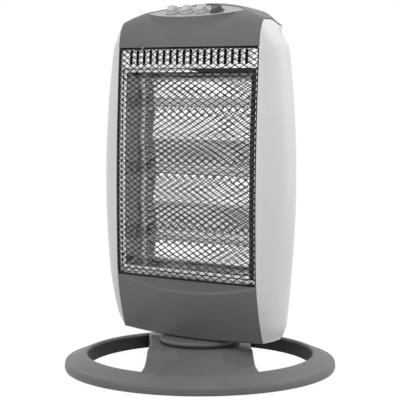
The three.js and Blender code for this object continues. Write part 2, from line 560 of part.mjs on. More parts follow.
// Reflector: a flat flange, side walls and a back of shallow troughs.
const troughH = (MOUTH_TOP_Z - MOUTH_BOTTOM_Z) / TROUGHS;
const lampZ = steps(0, TROUGHS - 1, TROUGHS - 1).map((i) => MOUTH_BOTTOM_Z + troughH * (i + 0.5));
function troughY(z) {
  const t = ((z - MOUTH_BOTTOM_Z) / troughH) % 1;
  return TROUGH_BACK_Y - (TROUGH_BACK_Y - TROUGH_RIDGE_Y) * (2 * t - 1) ** 2;
}
function panSolid(grow, front) {
  const lo = MOUTH_BOTTOM_Z - grow, hi = MOUTH_TOP_Z + grow;
  const zs = steps(MOUTH_BOTTOM_Z, MOUTH_TOP_Z, TROUGHS * 6);
  const back = zs.map((z, i) => [troughY(z - (i % 6 === 0 && i ? 1e-6 : 0)) + grow, z]);
  back[0] = [TROUGH_RIDGE_Y + grow, lo];
  back[back.length - 1] = [TROUGH_RIDGE_Y + grow, hi];
  const ring = (x) => [V(x, front, lo), ...back.map(([y, z]) => V(x, y, z)), V(x, front, hi)];
  return solid(loft([ring(-MOUTH_X - grow), ring(MOUTH_X + grow)], ['y', 'z']));
}
const slot = (x) => {
  const r = SLOT_W / 2, h = SLOT_H / 2 - r;
  return join(box([x - r, FLANGE_Y - 3, SLOT_Z - h], [x + r, FLANGE_Y + 4, SLOT_Z + h]),
    rod([x, FLANGE_Y - 3, SLOT_Z - h], [x, FLANGE_Y + 4, SLOT_Z - h], r, 6),
    rod([x, FLANGE_Y - 3, SLOT_Z + h], [x, FLANGE_Y + 4, SLOT_Z + h], r, 6));
};
const slotXs = steps(-(SLOT_COUNT - 1) / 2, (SLOT_COUNT - 1) / 2, SLOT_COUNT - 1).map((i) => i * SLOT_PITCH);
head.add(piece('reflector', cut(
  join(box([-TRAY_X, FLANGE_Y, TRAY_Z[0]], [TRAY_X, FLANGE_Y + REFLECTOR_T, TRAY_Z[1]]),
    panSolid(REFLECTOR_T, FLANGE_Y + 0.2)),
  panSolid(0, FLANGE_Y - 5),
  ...slotXs.map(slot),
  ...lampZ.map((z) => rod([-EDGE_X, LAMP_Y, z], [EDGE_X, LAMP_Y, z], CAP_R + RUN, 16))), MAT.bright));

// Lamps: quartz tube, filament and two ceramic caps each, in two holders.
lampZ.forEach((z, i) => {
  const n = i + 1;
  const tubeEnd = CAP_X + 8;
  head.add(piece(`lamp_tube_${n}`, cut(
    rod([-tubeEnd, LAMP_Y, z], [tubeEnd, LAMP_Y, z], TUBE_R, 20),
    rod([-tubeEnd - 1, LAMP_Y, z], [tubeEnd + 1, LAMP_Y, z], TUBE_R - TUBE_WALL, 20)), MAT.glass));
  head.add(piece(`lamp_filament_${n}`, rodGeo([-tubeEnd, LAMP_Y, z], [tubeEnd, LAMP_Y, z], 1, 10), MAT.tungsten));
  for (const [side, s] of [['left', -1], ['right', 1]]) {
    head.add(piece(`lamp_cap_${side}_${n}`, cut(
      rod([s * CAP_X, LAMP_Y, z], [s * (CAP_X + CAP_LEN), LAMP_Y, z], CAP_R, 20),
      rod([s * (CAP_X - 1), LAMP_Y, z], [s * (tubeEnd + GAP), LAMP_Y, z], TUBE_R + GAP, 20)), MAT.ceramic));
  }
});
for (const [side, s] of [['left', -1], ['right', 1]]) {
  const xs = [s * HOLDER_X, s * (HOLDER_X + SHEET)].sort((a, b) => a - b);
  const lip = [s * (HOLDER_X), s * (TRAY_X - SHEET - GAP)].sort((a, b) => a - b);
  head.add(piece(`lamp_holder_${side}`, cut(join(
    box([xs[0], LAMP_Y - 10, MOUTH_BOTTOM_Z + 6], [xs[1], CHASSIS_BACK_Y - GAP, MOUTH_TOP_Z - 6]),
    box([lip[0], CHASSIS_BACK_Y - GAP - SHEET, MOUTH_BOTTOM_Z + 6], [lip[1], CHASSIS_BACK_Y - GAP, MOUTH_TOP_Z - 6])),
  ...lampZ.map((z) => rod([-EDGE_X, LAMP_Y, z], [EDGE_X, LAMP_Y, z], CAP_R + GAP, 16))), MAT.steel));
}

// Guard: a lattice of diamond openings bent to the front, with a rim behind it.
const GUARD_X = EDGE_X - SEAM;
const GUARD_Z = [GUARD_BOTTOM_Z + SEAM, GUARD_TOP_Z - SEAM];
function guardGeo() {
  const w = GUARD_X, [z0, z1] = GUARD_Z;
  const openings = [];
  const cols = Math.floor((2 * w - 2 * GUARD_RIM) / MESH_W);
  const rows = Math.floor((z1 - z0 - 2 * GUARD_RIM) / MESH_H);
  const pw = (2 * w - 2 * GUARD_RIM) / cols, ph = (z1 - z0 - 2 * GUARD_RIM) / rows;
  const shrink = WIRE_W / 2 * Math.hypot(1 / pw, 1 / ph) * 2;
  for (let k = 0; k < 2; k++) {
    for (let i = 0; i < cols + k; i++) {
      for (let j = 0; j < rows + k; j++) {
        const cx = -w + GUARD_RIM + pw * (i + 0.5 - k / 2), cz = z0 + GUARD_RIM + ph * (j + 0.5 - k / 2);
        const left = k && i === 0, right = k && i === cols, low = k && j === 0, high = k && j === rows;
        if ((left || right) && (low || high)) continue;
        const hx = pw / 2 * (1 - shrink), hz = ph / 2 * (1 - shrink), cutIn = 0.7;
        const pts = [];
        if (left) pts.push([cx + cutIn, cz - hz + cutIn * hz / hx], [cx + hx, cz], [cx + cutIn, cz + hz - cutIn * hz / hx]);
        else if (right) pts.push([cx - cutIn, cz - hz + cutIn * hz / hx], [cx - cutIn, cz + hz - cutIn * hz / hx], [cx - hx, cz]);
        else if (low) pts.push([cx - hx + cutIn * hx / hz, cz + cutIn], [cx + hx - cutIn * hx / hz, cz + cutIn], [cx, cz + hz]);
        else if (high) pts.push([cx - hx + cutIn * hx / hz, cz - cutIn], [cx, cz - hz], [cx + hx - cutIn * hx / hz, cz - cutIn]);
        else pts.push([cx - hx, cz], [cx, cz - hz], [cx + hx, cz], [cx, cz + hz]);
        openings.push(new THREE.Shape(pts.map(([x, z]) => new THREE.Vector2(x, z))));
      }
    }
  }
  const holes = new THREE.ExtrudeGeometry(openings, { depth: WIRE_T + 2, bevelEnabled: false }).translate(0, 0, -1);
  const g = geometryOf(cut(box([-w, z0, 0], [w, z1, WIRE_T]), solid(holes)));
  const pos = g.getAttribute('position');
  for (let i = 0; i < pos.count; i++) {
    const x = pos.getX(i), z = pos.getY(i), t = pos.getZ(i);
    pos.setXYZ(i, x, frontY(x, z) + GAP + t, z);
  }
  return g;
}
head.add(piece('guard', guardGeo(), MAT.wire));

// --------------------------------------------------------------------- covers

const COVER_X = EDGE_X - SEAM;
const coverXs = steps(-COVER_X, COVER_X, 12);

// Lower cover: front wall and bottom, open at the back and to the sides.
function lowerSection(x, inset, top, back) {
  const zs = steps(top, bottomZ(x) + 3 + inset, 5);
  const front = zs.map((z) => V(x, frontY(x, z, inset), z));
  const z0 = bottomZ(x) + inset;
  return [...front, V(x, frontY(x, z0 + 3, inset) + 1.6, z0 + 0.6), V(x, frontY(x, z0 + 3, inset) + 4, z0), V(x, back, z0), V(x, back, top)];
}
const lowerCover = cut(
  solid(loft(coverXs.map((x) => lowerSection(x, 0, GUARD_BOTTOM_Z, REAR_SEAM_Y)), ['y', 'z'])),
  solid(loft([-COVER_X - 1, ...coverXs.slice(1, -1), COVER_X + 1].map((x) => lowerSection(x, WALL, GUARD_BOTTOM_Z + 5, REAR_SEAM_Y + 5)), ['y', 'z'])),
  rod([0, 0, HEAD_BOTTOM_Z - 15], [0, 0, HEAD_BOTTOM_Z + 15], HUB_R + GAP, 24));
head.add(piece('lower_cover', lowerCover, MAT.grey));

// Upper cover: a hood with the drum-like rise under the control panel.
function hoodSection(x, inset, bottom, back) {
  const top = crownZ(x) - inset;
  const zs = [bottom, ROUND_START_Z, ...[0.3, 0.55, 0.75, 0.9, 0.975, 1].map((t) => ROUND_START_Z + t * (top - ROUND_START_Z))];
  return [...zs.map((z) => V(x, frontY(x, z, inset), z)), V(x, back, top), V(x, back, bottom)];
}
/** Almond outline of the panel in its own plane, as [x, y] along the plane. */
function almond(shrink, n = 10) {
  const arc = (reach) => {
    const half = PANEL_HALF_X - shrink * 2.2, h = reach - shrink;
    const r = (half * half + h * h) / (2 * h), a = Math.asin(half / r);
    return steps(-a, a, n).map((t) => [r * Math.sin(t), r * Math.cos(t) - (r - h)]);
  };
  const back = arc(PANEL_BACK), front = arc(PANEL_FRONT).map(([x, y]) => [-x, -y]);
  return [...back, ...front.slice(1, -1)];
}
/** Place a geometry of the panel's plane on the head. */
function onPanel(g) {
  return g.rotateX(PANEL_TILT).translate(0, PANEL_Y, PANEL_Z);
}
function almondPrism(shrink, lo, hi) {
  const shape = new THREE.Shape(almond(shrink).map(([x, y]) => new THREE.Vector2(x, y)));
  return solid(onPanel(new THREE.ExtrudeGeometry(shape, { depth: hi - lo, bevelEnabled: false }).translate(0, 0, lo)));
}
/** The drum under the panel: the almond's front half dropped straight down. */
function drum(shrink, top, bottom) {
  const pts = almond(shrink).map(([x, y]) => [x, y * Math.cos(PANEL_TILT) + PANEL_Y, y]);
  const ringTop = pts.map(([x, y, s]) => V(x, y, PANEL_Z + s * Math.sin(PANEL_TILT) + top / Math.cos(PANEL_TILT)));
  const ringLow = pts.map(([x, y]) => V(x, y, bottom));
  return solid(loft([ringLow, ringTop], ['x', 'y']));
}
const HOOD_FOOT = GUARD_TOP_Z;
const HOOD_BACK = REAR_SEAM_Y + 1;
/** Everything above the mouth and in front of y. */
const before = (y) => box([-EDGE_X, -EDGE_X, MOUTH_TOP_Z], [EDGE_X, y, CROWN_Z + EDGE_X]);
let hood = join(
  solid(loft(coverXs.map((x) => hoodSection(x, 0, HOOD_FOOT, HOOD_BACK)), ['y', 'z'])),
  drum(0, 0, DRUM_FOOT_Z).intersect(before(HOOD_BACK)));
hood = cut(hood, almondPrism(1.2, -PANEL_T - PANEL_SINK - GAP, 30),
  almondPrism(-0.01, 0, 30).intersect(before(HOOD_BACK + 5)));
const hoodCore = join(
  solid(loft([-COVER_X - 1, ...coverXs.slice(1, -1), COVER_X + 1].map((x) => hoodSection(x, WALL, HOOD_FOOT - 5, HOOD_BACK + 5)), ['y', 'z'])),
  drum(WALL, -PANEL_T - PANEL_SINK - GAP - WALL, DRUM_FOOT_Z - 4).intersect(before(HOOD_BACK + 5)));
const underPanel = almondPrism(-0.5, -PANEL_T - PANEL_SINK - GAP - WALL, 30);
hood = cut(hood, hoodCore.subtract(underPanel));
const switchXs = [-1.5, -0.5, 0.5, 1.5].map((i) => i * SWITCH_PITCH);
const onPanelSolid = (g) => solid(onPanel(g));
const panelRod = (x, y, z0, z1, r, sides = 20) => onPanelSolid(rodGeo([x, y, z0], [x, y, z1], r, sides));
hood = cut(hood, ...switchXs.map((x) => panelRod(x, SWITCH_DOWN, -30, 5, SWITCH_BODY_R + GAP)));
head.add(piece('upper_cover', hood, MAT.grey));

head.add(piece('control_panel', cut(almondPrism(1.2 + GAP, -PANEL_T - PANEL_SINK, -PANEL_SINK),
  ...switchXs.map((x) => panelRod(x, SWITCH_DOWN, -10, 5, SWITCH_BODY_R + GAP))), MAT.panel));

// Switches: round bezel and body in one, with a rocker that tips about x.
const rockerZ = BEZEL_H - PANEL_SINK - 1;
switchXs.forEach((x, i) => {
  const seat = -PANEL_SINK + GAP;
  const material = i < 3 ? MAT.white : MAT.dark;
  const profile = [[0, -SWITCH_DEPTH], [SWITCH_BODY_R, -SWITCH_DEPTH], [SWITCH_BODY_R, seat], [BEZEL_R, seat],
    [BEZEL_R, seat + BEZEL_H - 0.9], [BEZEL_R - 0.9, seat + BEZEL_H], [ROCKER_R + 0.9, seat + BEZEL_H],
    [ROCKER_R + 0.7, -6.4], [0, -6.4]];
  const g = new THREE.LatheGeometry(profile.map(([r, z]) => new THREE.Vector2(r, z)), 20).rotateX(Math.PI / 2);
  head.add(piece(`switch_${i + 1}`, solid(onPanel(g.translate(x, SWITCH_DOWN, 0))), material));

  // Rocker: a domed button, hollowed towards the front, over a narrower foot.
  const button = turned([[0, -4.6], [4.4, -4.6], [ROCKER_R - 0.7, -1.6], [ROCKER_R, 0.2], [ROCKER_R, ROCKER_H - 2.6],
    [ROCKER_R - 1.4, ROCKER_H - 0.8], [ROCKER_R - 3.6, ROCKER_H], [0, ROCKER_H]], 16);
  const dish = solid(new THREE.SphereGeometry(11, 16, 10).translate(0, -9.5, ROCKER_H + 4.6));
  const rocker = geometryOf(cut(button, dish)).rotateX(-ROCKER_TIP).translate(x, SWITCH_DOWN, rockerZ);
  head.add(piece(`rocker_${i + 1}`, solid(onPanel(rocker)), material));
});

// Side shells: bulging caps, open to the inside, with a small slit near the top.
function sideGrid(s, inset) {
  const lo = HEAD_BOTTOM_Z + inset, hi = SIDE_TOP_Z - inset;
  const roundZs = [0, 0.34, 0.65, 0.86, 1].map((t) => SIDE_ROUND_Z + t * (hi - 1 - SIDE_ROUND_Z));
  const footZs = [0, 0.03, 0.12, 0.3, 0.6, 1].map((t) => lo + t * SIDE_FOOT_R);
  const zs = [...footZs, ...steps(lo + SIDE_FOOT_R + 15, SIDE_ROUND_Z - 10, 8), ...roundZs, hi];
  return grid(zs, steps(0, Math.PI, 9), (z, t) => {
    const front = frontY(EDGE_X, z) + inset, depth = REAR_SEAM_Y - inset - front;
    const bf = SIDE_FRONT_SHARE * depth, br = depth - bf;
    const d = t < Math.PI / 2 ? bf * (1 - Math.cos(t)) : bf - br * Math.cos(t);
    return V(s * (EDGE_X + sideOut(z, inset) * Math.sin(t)), front + d, z);
  });
}
for (const [side, s] of [['left', -1], ['right', 1]]) {
  const shell = cut(solid(shellGeo(sideGrid(s, 0), sideGrid(s, WALL))),
    box([Math.min(s * EDGE_X, s * 2 * EDGE_X), SLIT_Y - SLIT_LEN / 2, SLIT_Z - SLIT_H / 2],
      [Math.max(s * EDGE_X, s * 2 * EDGE_X), SLIT_Y + SLIT_LEN / 2, SLIT_Z + SLIT_H / 2]));
  head.add(piece(`side_shell_${side}`, shell, MAT.pale));
}

// Rear cover: a domed back with vents, a grip recess and four screw wells.
const REAR_TOP = (x) => Math.min(crownZ(x), CROWN_Z - 0.2);
const BEHIND_Y = 2 * (REAR_SEAM_Y + REAR_DEPTH);   // clear of the back
function rearGrid(inset) {
  const us = [-1, -0.97, -0.9, -0.75, -0.5, -0.25, 0, 0.25, 0.5, 0.75, 0.9, 0.97, 1];
  const vs = [0, 0.012, 0.035, 0.09, 0.2, 0.35, 0.5, 0.65, 0.8, 0.9, 0.955, 0.985, 1];
  const w = COVER_X - inset;
  return grid(us, vs, (u, v) => {
    const x = u * w;
    const lo = bottomZ(x) + inset, hi = REAR_TOP(x) - inset;
    const z = lo + (hi - lo) * v;
    const bulge = (1 - Math.abs(u) ** 6) ** 0.5 * (1 - Math.abs(2 * v - 1) ** 10) ** 0.5;
    const seam = (v > 0.9 ? HOOD_BACK : REAR_SEAM_Y) + SEAM;
    return V(x, seam + (REAR_DEPTH - inset) * bulge, z);
  });
}
const rearSurface = (x, z) => {
  const lo = bottomZ(x), hi = REAR_TOP(x), v = (z - lo) / (hi - lo);
  return REAR_SEAM_Y + SEAM + REAR_DEPTH * (1 - Math.abs(x / COVER_X) ** 6) ** 0.5 * (1 - Math.abs(2 * v - 1) ** 10) ** 0.5;
};
let rear = solid(shellGeo(rearGrid(0), rearGrid(WALL)));
const gripBack = rearSurface(0, GRIP_Z);
rear = rear.add(box([-GRIP_LEN / 2 - WALL, gripBack - GRIP_DEEP - WALL, GRIP_Z - GRIP_H / 2 - WALL],
  [GRIP_LEN / 2 + WALL, gripBack - 1.5, GRIP_Z + GRIP_H / 2 + WALL]));
rear = rear.subtract(box([-GRIP_LEN / 2, gripBack - GRIP_DEEP, GRIP_Z - GRIP_H / 2], [GRIP_LEN / 2, gripBack + 10, GRIP_Z + GRIP_H / 2]));
for (const z of VENT_ROWS) {
  for (let i = 0; i < VENT_COUNT; i++) {
    const x = (i - (VENT_COUNT - 1) / 2) * VENT_PITCH;
    rear = rear.subtract(box([x - VENT_W / 2, REAR_SEAM_Y + REAR_DEPTH / 2, z - VENT_H / 2], [x + VENT_W / 2, BEHIND_Y, z + VENT_H / 2]));
  }
}
const WELL_Y = CHASSIS_BACK_Y + SHEET + GAP;
const WELL_FLOOR = 2.4;
for (const [x, z] of REAR_SCREWS) {
  rear = rear.add(rod([x, WELL_Y, z], [x, rearSurface(x, z) - 1, z], SCREW_HEAD_R + 3, 12));
  rear = rear.subtract(rod([x, WELL_Y + WELL_FLOOR, z], [x, BEHIND_Y, z], SCREW_HEAD_R + GAP, 12));
  rear = rear.subtract(screwHole([x, z]));
}
const glandY = rearSurface(0, GLAND_Z);
rear = rear.subtract(rod([0, REAR_SEAM_Y, GLAND_Z], [0, BEHIND_Y, GLAND_Z], GLAND_R + GAP, 20));
head.add(piece('rear_cover', rear, MAT.grey));
REAR_SCREWS.forEach(([x, z], i) => {
  const seat = WELL_Y + WELL_FLOOR + GAP;
  head.add(piece(`rear_screw_${i + 1}`, join(
    rod([x, seat, z], [x, seat + 2.4, z], SCREW_HEAD_R, 12),
    rod([x, CHASSIS_BACK_Y - 2, z], [x, seat + 1, z], SCREW_R, 8)), MAT.steel));
});
head.add(piece('cord_gland', cut(join(
  rod([0, glandY - WALL - 3, GLAND_Z], [0, glandY + 2, GLAND_Z], GLAND_R, 20),
  rod([0, glandY + 1.6, GLAND_Z], [0, glandY + 5, GLAND_Z], GLAND_R + 3, 20, GLAND_R + 2)),
rod([0, glandY - 20, GLAND_Z], [0, glandY + 20, GLAND_Z], 4, 16)), MAT.rubber));

const group = new THREE.Group();
group.add(stand, head);
export default group;
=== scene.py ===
"""Halogen heater: finishes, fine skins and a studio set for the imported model.

Lengths are in millimetres in the classes below and become metres when a mesh
is made. The head's pieces are written in the head's own space, which faces -Y,
and are turned about Z to where the head rests on the stand.
"""
import logging
import math
from contextlib import contextmanager
from dataclasses import dataclass, field
from enum import Enum
from math import cos, hypot, pi, radians, sin, sqrt
from typing import Callable, Iterable, Iterator, Sequence

import bmesh
import bpy
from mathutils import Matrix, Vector


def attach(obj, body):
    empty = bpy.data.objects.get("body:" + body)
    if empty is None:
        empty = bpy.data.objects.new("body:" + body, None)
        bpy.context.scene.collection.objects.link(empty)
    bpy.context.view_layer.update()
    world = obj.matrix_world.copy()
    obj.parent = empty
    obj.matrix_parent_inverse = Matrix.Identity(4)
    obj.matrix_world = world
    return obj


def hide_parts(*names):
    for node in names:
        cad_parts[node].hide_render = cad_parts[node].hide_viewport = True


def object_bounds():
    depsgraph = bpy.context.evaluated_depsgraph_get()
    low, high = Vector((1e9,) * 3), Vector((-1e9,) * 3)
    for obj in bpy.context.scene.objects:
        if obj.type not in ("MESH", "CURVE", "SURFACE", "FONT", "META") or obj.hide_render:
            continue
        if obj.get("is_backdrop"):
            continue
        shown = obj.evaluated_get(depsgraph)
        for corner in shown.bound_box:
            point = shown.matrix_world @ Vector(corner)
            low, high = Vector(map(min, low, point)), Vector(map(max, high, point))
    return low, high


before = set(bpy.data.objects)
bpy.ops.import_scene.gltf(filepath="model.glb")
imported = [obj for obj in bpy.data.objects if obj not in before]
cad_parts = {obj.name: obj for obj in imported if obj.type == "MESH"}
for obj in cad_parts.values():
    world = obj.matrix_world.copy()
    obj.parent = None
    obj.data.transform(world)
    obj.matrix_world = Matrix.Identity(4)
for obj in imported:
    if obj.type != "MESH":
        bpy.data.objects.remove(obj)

LOG = logging.getLogger("heater")
MM = 0.001
Point = tuple[float, float, float]
Pair = tuple[float, float]
Piece = bpy.types.Object
Tree = bpy.types.NodeTree
Socket = bpy.types.NodeSocket


def lerp(a: float, b: float, t: float) -> float:
    """Value a share t of the way from a to b."""
    return a + (b - a) * t


def steps(a: float, b: float, n: int) -> list[float]:
    """n + 1 even values from a to b."""
    return [lerp(a, b, i / n) for i in range(n + 1)]


def clamp01(t: float) -> float:
    """t held between 0 and 1."""
    return max(0.0, min(1.0, t))


def smooth(t: float) -> float:
    """Soft step from 0 to 1."""
    t = clamp01(t)
    return t * t * (3 - 2 * t)


def arc(a: float, b: float, n: int) -> list[float]:
    """n + 1 angles from a to b, in right angles."""
    return steps(a * pi / 2, b * pi / 2, n)


def around(n: int) -> list[float]:
    """n even angles of a full turn."""
    return [2 * pi * i / n for i in range(n)]


def soft_min(a: float, b: float, k: float) -> float:
    """Lower of two values, blended over a width k."""
    h = clamp01(0.5 + 0.5 * (b - a) / k)
    return lerp(b, a, h) - k * h * (1 - h)


# ------------------------------------------------------------------ dimensions

@dataclass(frozen=True)
class Stand:
    """Sizes of the ring stand."""

    outer_r: float = 180.0
    inner_r: float = 149.0
    rim_z: float = 22.0
    lift: float = 1.5
    half_top: float = 65.0
    half_foot: float = 74.0
    onto: float = 5.0
    pedestal_z: float = 34.0
    pedestal_half: float = 60.0
    hollow_at: Pair = (74.0, 84.0)
    hollow_r: Pair = (45.0, 46.0)
    disc_r: float = 53.0
    disc_z: Pair = (35.6, 41.9)
    hub_r: float = 20.0
    hub_top: float = 52.0
    spindle_r: float = 9.6


@dataclass(frozen=True)
class HeadForm:
    """Outer surfaces of the head, in its own space."""

    yaw: float = radians(-35.5)
    front: float = -44.2
    bow_z: float = 215.0
    plan_r: float = 875.0
    side_r: float = 2940.0
    tuck_z: float = 140.0
    tuck_r: float = 320.0
    roll: float = 18.0
    roll_fall: float = 0.223
    tip_x: float = 82.0
    hollow: float = 22.0
    hollow_w: float = 32.0
    edge_x: float = 112.0
    seam: float = 0.5
    bottom: float = 46.8
    sag: float = 4.4
    guard_z: Pair = (121.7, 424.7)
    round_z: float = 430.0
    crown: float = 483.2
    crown_drop: float = 0.00186
    shell_x: float = 148.0
    shell_r: float = 1066.5
    shell_mid: float = 255.5
    shell_top: float = 458.4
    shell_round: float = 425.2
    shell_power: float = 1.2
    shell_foot: float = 27.0
    shell_share: float = 0.58
    rear_y: float = 21.0
    rear_depth: float = 22.0
    shoulder: float = 7.5
    shoulder_from: Point = (84.0, -6.0, 395.0)
    shoulder_over: Point = (28.0, 30.0, 60.0)

    @property
    def cover_x(self) -> float:
        """Half width of the covers between the side shells."""
        return self.edge_x - self.seam

    def crown_z(self, x: float) -> float:
        """Height of the crown at x."""
        return self.crown - self.crown_drop * x * x

    def bottom_z(self, x: float) -> float:
        """Height of the bottom edge at x."""
        return self.bottom - self.sag * (1 - (x / self.edge_x) ** 2)

    def front_y(self, x: float, z: float) -> float:
        """Front of the head at x and z."""
        rise = clamp01((z - self.round_z) / (self.crown_z(x) - self.round_z))
        beyond = abs(x) - self.tip_x
        roll = self.roll - self.roll_fall * max(0.0, beyond) + self.hollow * smooth(-beyond / self.hollow_w)
        bow = self.front + x * x / (2 * self.plan_r) + (z - self.bow_z) ** 2 / (2 * self.side_r)
        tuck = max(0.0, self.tuck_z - z) ** 2 / (2 * self.tuck_r)
        return bow + tuck + roll * (1 - sqrt(1 - rise * rise))

    def shell_out(self, z: float) -> float:
        """How far a side shell stands out beyond the covers at z."""
        out = self.shell_x - self.edge_x - (z - self.shell_mid) ** 2 / (2 * self.shell_r)
        if z > self.shell_round:
            rise = (z - self.shell_round) / (self.shell_top - self.shell_round)
            out *= max(0.0, 1 - rise ** self.shell_power) ** (1 / self.shell_power)
        foot = self.bottom + self.shell_foot
        if z < foot:
            out *= sqrt(max(0.0, 1 - ((foot - z) / self.shell_foot) ** 2))
        return max(0.0, out)

    def shell_point(self, side: int, t: float, z: float) -> Point:
        """Point of a side shell: t runs from its front edge, 0, to its rear edge, pi."""
        front = self.front_y(self.edge_x, z)
        depth = self.rear_y - front
        near, far = self.shell_share * depth, (1 - self.shell_share) * depth
        d = near * (1 - cos(t)) if t < pi / 2 else near - far * cos(t)
        return side * (self.edge_x + self.shell_out(z) * max(0.0, sin(t))), front + d, z

    def place(self, p: Point) -> Point:
        """A point of the head's space in the frame, with the rear shoulders rounded off."""
        c, s = cos(self.yaw), sin(self.yaw)
        fall = self.shoulder
        for q, start, over in zip((abs(p[0]), p[1], p[2]), self.shoulder_from, self.shoulder_over):
            fall *= smooth((q - start) / over)
        return p[0] * c - p[1] * s, p[0] * s + p[1] * c, p[2] - fall


@dataclass(frozen=True)
class PanelForm:
    """The almond control panel and the drum-like rise under it."""

    tilt: float = radians(18)
    y: float = -11.0
    z: float = 471.3
    half_x: float = 82.0
    reach_front: float = 25.0
    reach_back: float = 33.5
    taper: float = 2.2
    sink: float = 0.6
    thick: float = 3.0
    pitch: float = 23.5
    down: float = -1.0
    bezel_r: float = 9.5
    rocker_r: float = 6.8
    rocker_h: float = 8.6
    rocker_tip: float = radians(9)

    def half(self, shrink: float) -> float:
        """Half length of the almond when its edge is drawn in."""
        return self.half_x - self.taper * shrink

    def arc(self, x: float, reach: float, shrink: float = 0.0) -> float:
        """Reach of an edge arc from the line of the tips at x."""
        half, h = self.half(shrink), reach - shrink
        r = (half * half + h * h) / (2 * h)
        return sqrt(max(0.0, r * r - min(x * x, half * half))) - (r - h)

    def on(self, x: float, s: float, lift: float = 0.0) -> Point:
        """Point x across and s up the panel, lifted off it."""
        c, n = cos(self.tilt), sin(self.tilt)
        return x, self.y + s * c - lift * n, self.z + s * n + lift * c


SIDES = (("left", -1), ("right", 1))
STAND = Stand()
HEAD = HeadForm()
PANEL = PanelForm()


# ----------------------------------------------------------------------- nodes

class Nodes:
    """Short ways to add and join the nodes of a tree.

    Args:
        tree: the tree.
    """

    def __init__(self, tree: Tree) -> None:
        """Take a tree to add to."""
        self.tree = tree

    def feed(self, socket: Socket, val: object) -> None:
        """Link a socket or set its value."""
        if isinstance(val, Socket):
            self.tree.links.new(val, socket)
        else:
            socket.default_value = val

    def node(self, kind: str, settings: dict[str, object] | None = None, **links: object) -> bpy.types.Node:
        """Add a node.

        Args:
            kind: its type.
            settings: its properties.
            links: inputs by name, with _ for a space: a socket to link or a value.

        Returns:
            The node.
        """
        made = self.tree.nodes.new(kind)
        for key, val in (settings or {}).items():
            setattr(made, key, val)
        for key, val in links.items():
            wanted = key.replace("_", " ")
            self.feed(next(s for s in made.inputs if s.name == wanted and s.enabled), val)
        return made

    def math(self, kind: str, *terms: object, node: str = "ShaderNodeMath") -> Socket:
        """Result of a sum of numbers, or of vectors with the vector node."""
        made = self.node(node, {"operation": kind})
        for socket, term in zip(made.inputs, terms):
            self.feed(socket, term)
        return made.outputs[0]

    def spread(self, value: Socket, **ends: float) -> Socket:
        """A value moved from one range to another, each 0 to 1 unless told otherwise."""
        return self.node("ShaderNodeMapRange", Value=value, **ends).outputs["Result"]

    def mix(self, share: Socket, low: object, high: object) -> Socket:
        """Colour between two colours."""
        made = self.node("ShaderNodeMix", {"data_type": "RGBA"})
        for i, val in ((0, share), (6, low), (7, high)):
            self.feed(made.inputs[i], val)
        return made.outputs[2]


# -------------------------------------------------------------------- finishes

class Group(Nodes):
    """A shader node group that several finishes share.

    Args:
        name: name of the group.
        inputs: its inputs and their default values.
    """

    _made: dict[str, Tree] = {}

    def __init__(self, name: str, **inputs: object) -> None:
        """Make the group with its inputs and the object's coordinates."""
        super().__init__(bpy.data.node_groups.new(name, "ShaderNodeTree"))
        for key, val in inputs.items():
            kind = "NodeSocketFloat" if isinstance(val, float) else "NodeSocketVector"
            socket = self.tree.interface.new_socket(key.replace("_", " "), in_out="INPUT", socket_type=kind)
            socket.default_value = val
        self.inputs = self.node("NodeGroupInput").outputs
        self.where = self.node("ShaderNodeTexCoord").outputs["Object"]

    def noise(self, **settings: object) -> Socket:
        """Noise over the object's coordinates, unless another vector is given."""
        return self.node("ShaderNodeTexNoise", **{"Vector": self.where, **settings}).outputs["Fac"]

    def end(self, **outputs: Socket) -> Tree:
        """Give the group its outputs."""
        for key in outputs:
            self.tree.interface.new_socket(key, in_out="OUTPUT", socket_type="NodeSocketFloat")
        self.node("NodeGroupOutput", **outputs)
        return self.tree

    @classmethod
    def get(cls, kind: Callable[[], Tree]) -> Tree:
        """One of the groups below, made once."""
        if kind.__name__ not in cls._made:
            cls._made[kind.__name__] = kind()
        return cls._made[kind.__name__]

    @classmethod
    def grain(cls) -> Tree:
        """Moulded texture: Height for a bump, Mottle as a slow mask and Dust for upward faces."""
        made = cls("MouldedGrain", Size=900.0, Cloud_Size=9.0)
        size = made.inputs["Size"]
        pits = made.node("ShaderNodeTexVoronoi", {"feature": "SMOOTH_F1"}, Vector=made.where, Scale=size)
        height = made.math("MULTIPLY_ADD", pits.outputs["Distance"], 0.6, made.noise(Scale=size, Detail=3.0))
        slow = made.noise(Scale=made.inputs["Cloud Size"], Detail=5.0)
        mottle = made.spread(slow, From_Min=0.35, From_Max=0.65)
        normal = made.node("ShaderNodeNewGeometry").outputs["Normal"]
        up = made.node("ShaderNodeSeparateXYZ", Vector=normal).outputs["Z"]
        dust = made.math("MULTIPLY", made.spread(up, From_Min=0.55, From_Max=1.0), mottle)
        return made.end(Height=height, Mottle=mottle, Dust=dust)

    @classmethod
    def streaks(cls) -> Tree:
        """Rolled metal: long fine lines as Height, their light and dark as Mask, and a slow Wave."""
        made = cls("RolledStreaks", Across=(12.0, 12.0, 900.0), Wave_Size=30.0)
        along = made.math("MULTIPLY", made.where, made.inputs["Across"], node="ShaderNodeVectorMath")
        line = made.noise(Vector=along, Scale=1.0, Detail=4.0)
        wave = made.noise(Scale=made.inputs["Wave Size"], Detail=2.0)
        return made.end(Height=line, Mask=made.spread(line, From_Min=0.3, From_Max=0.7), Wave=wave)


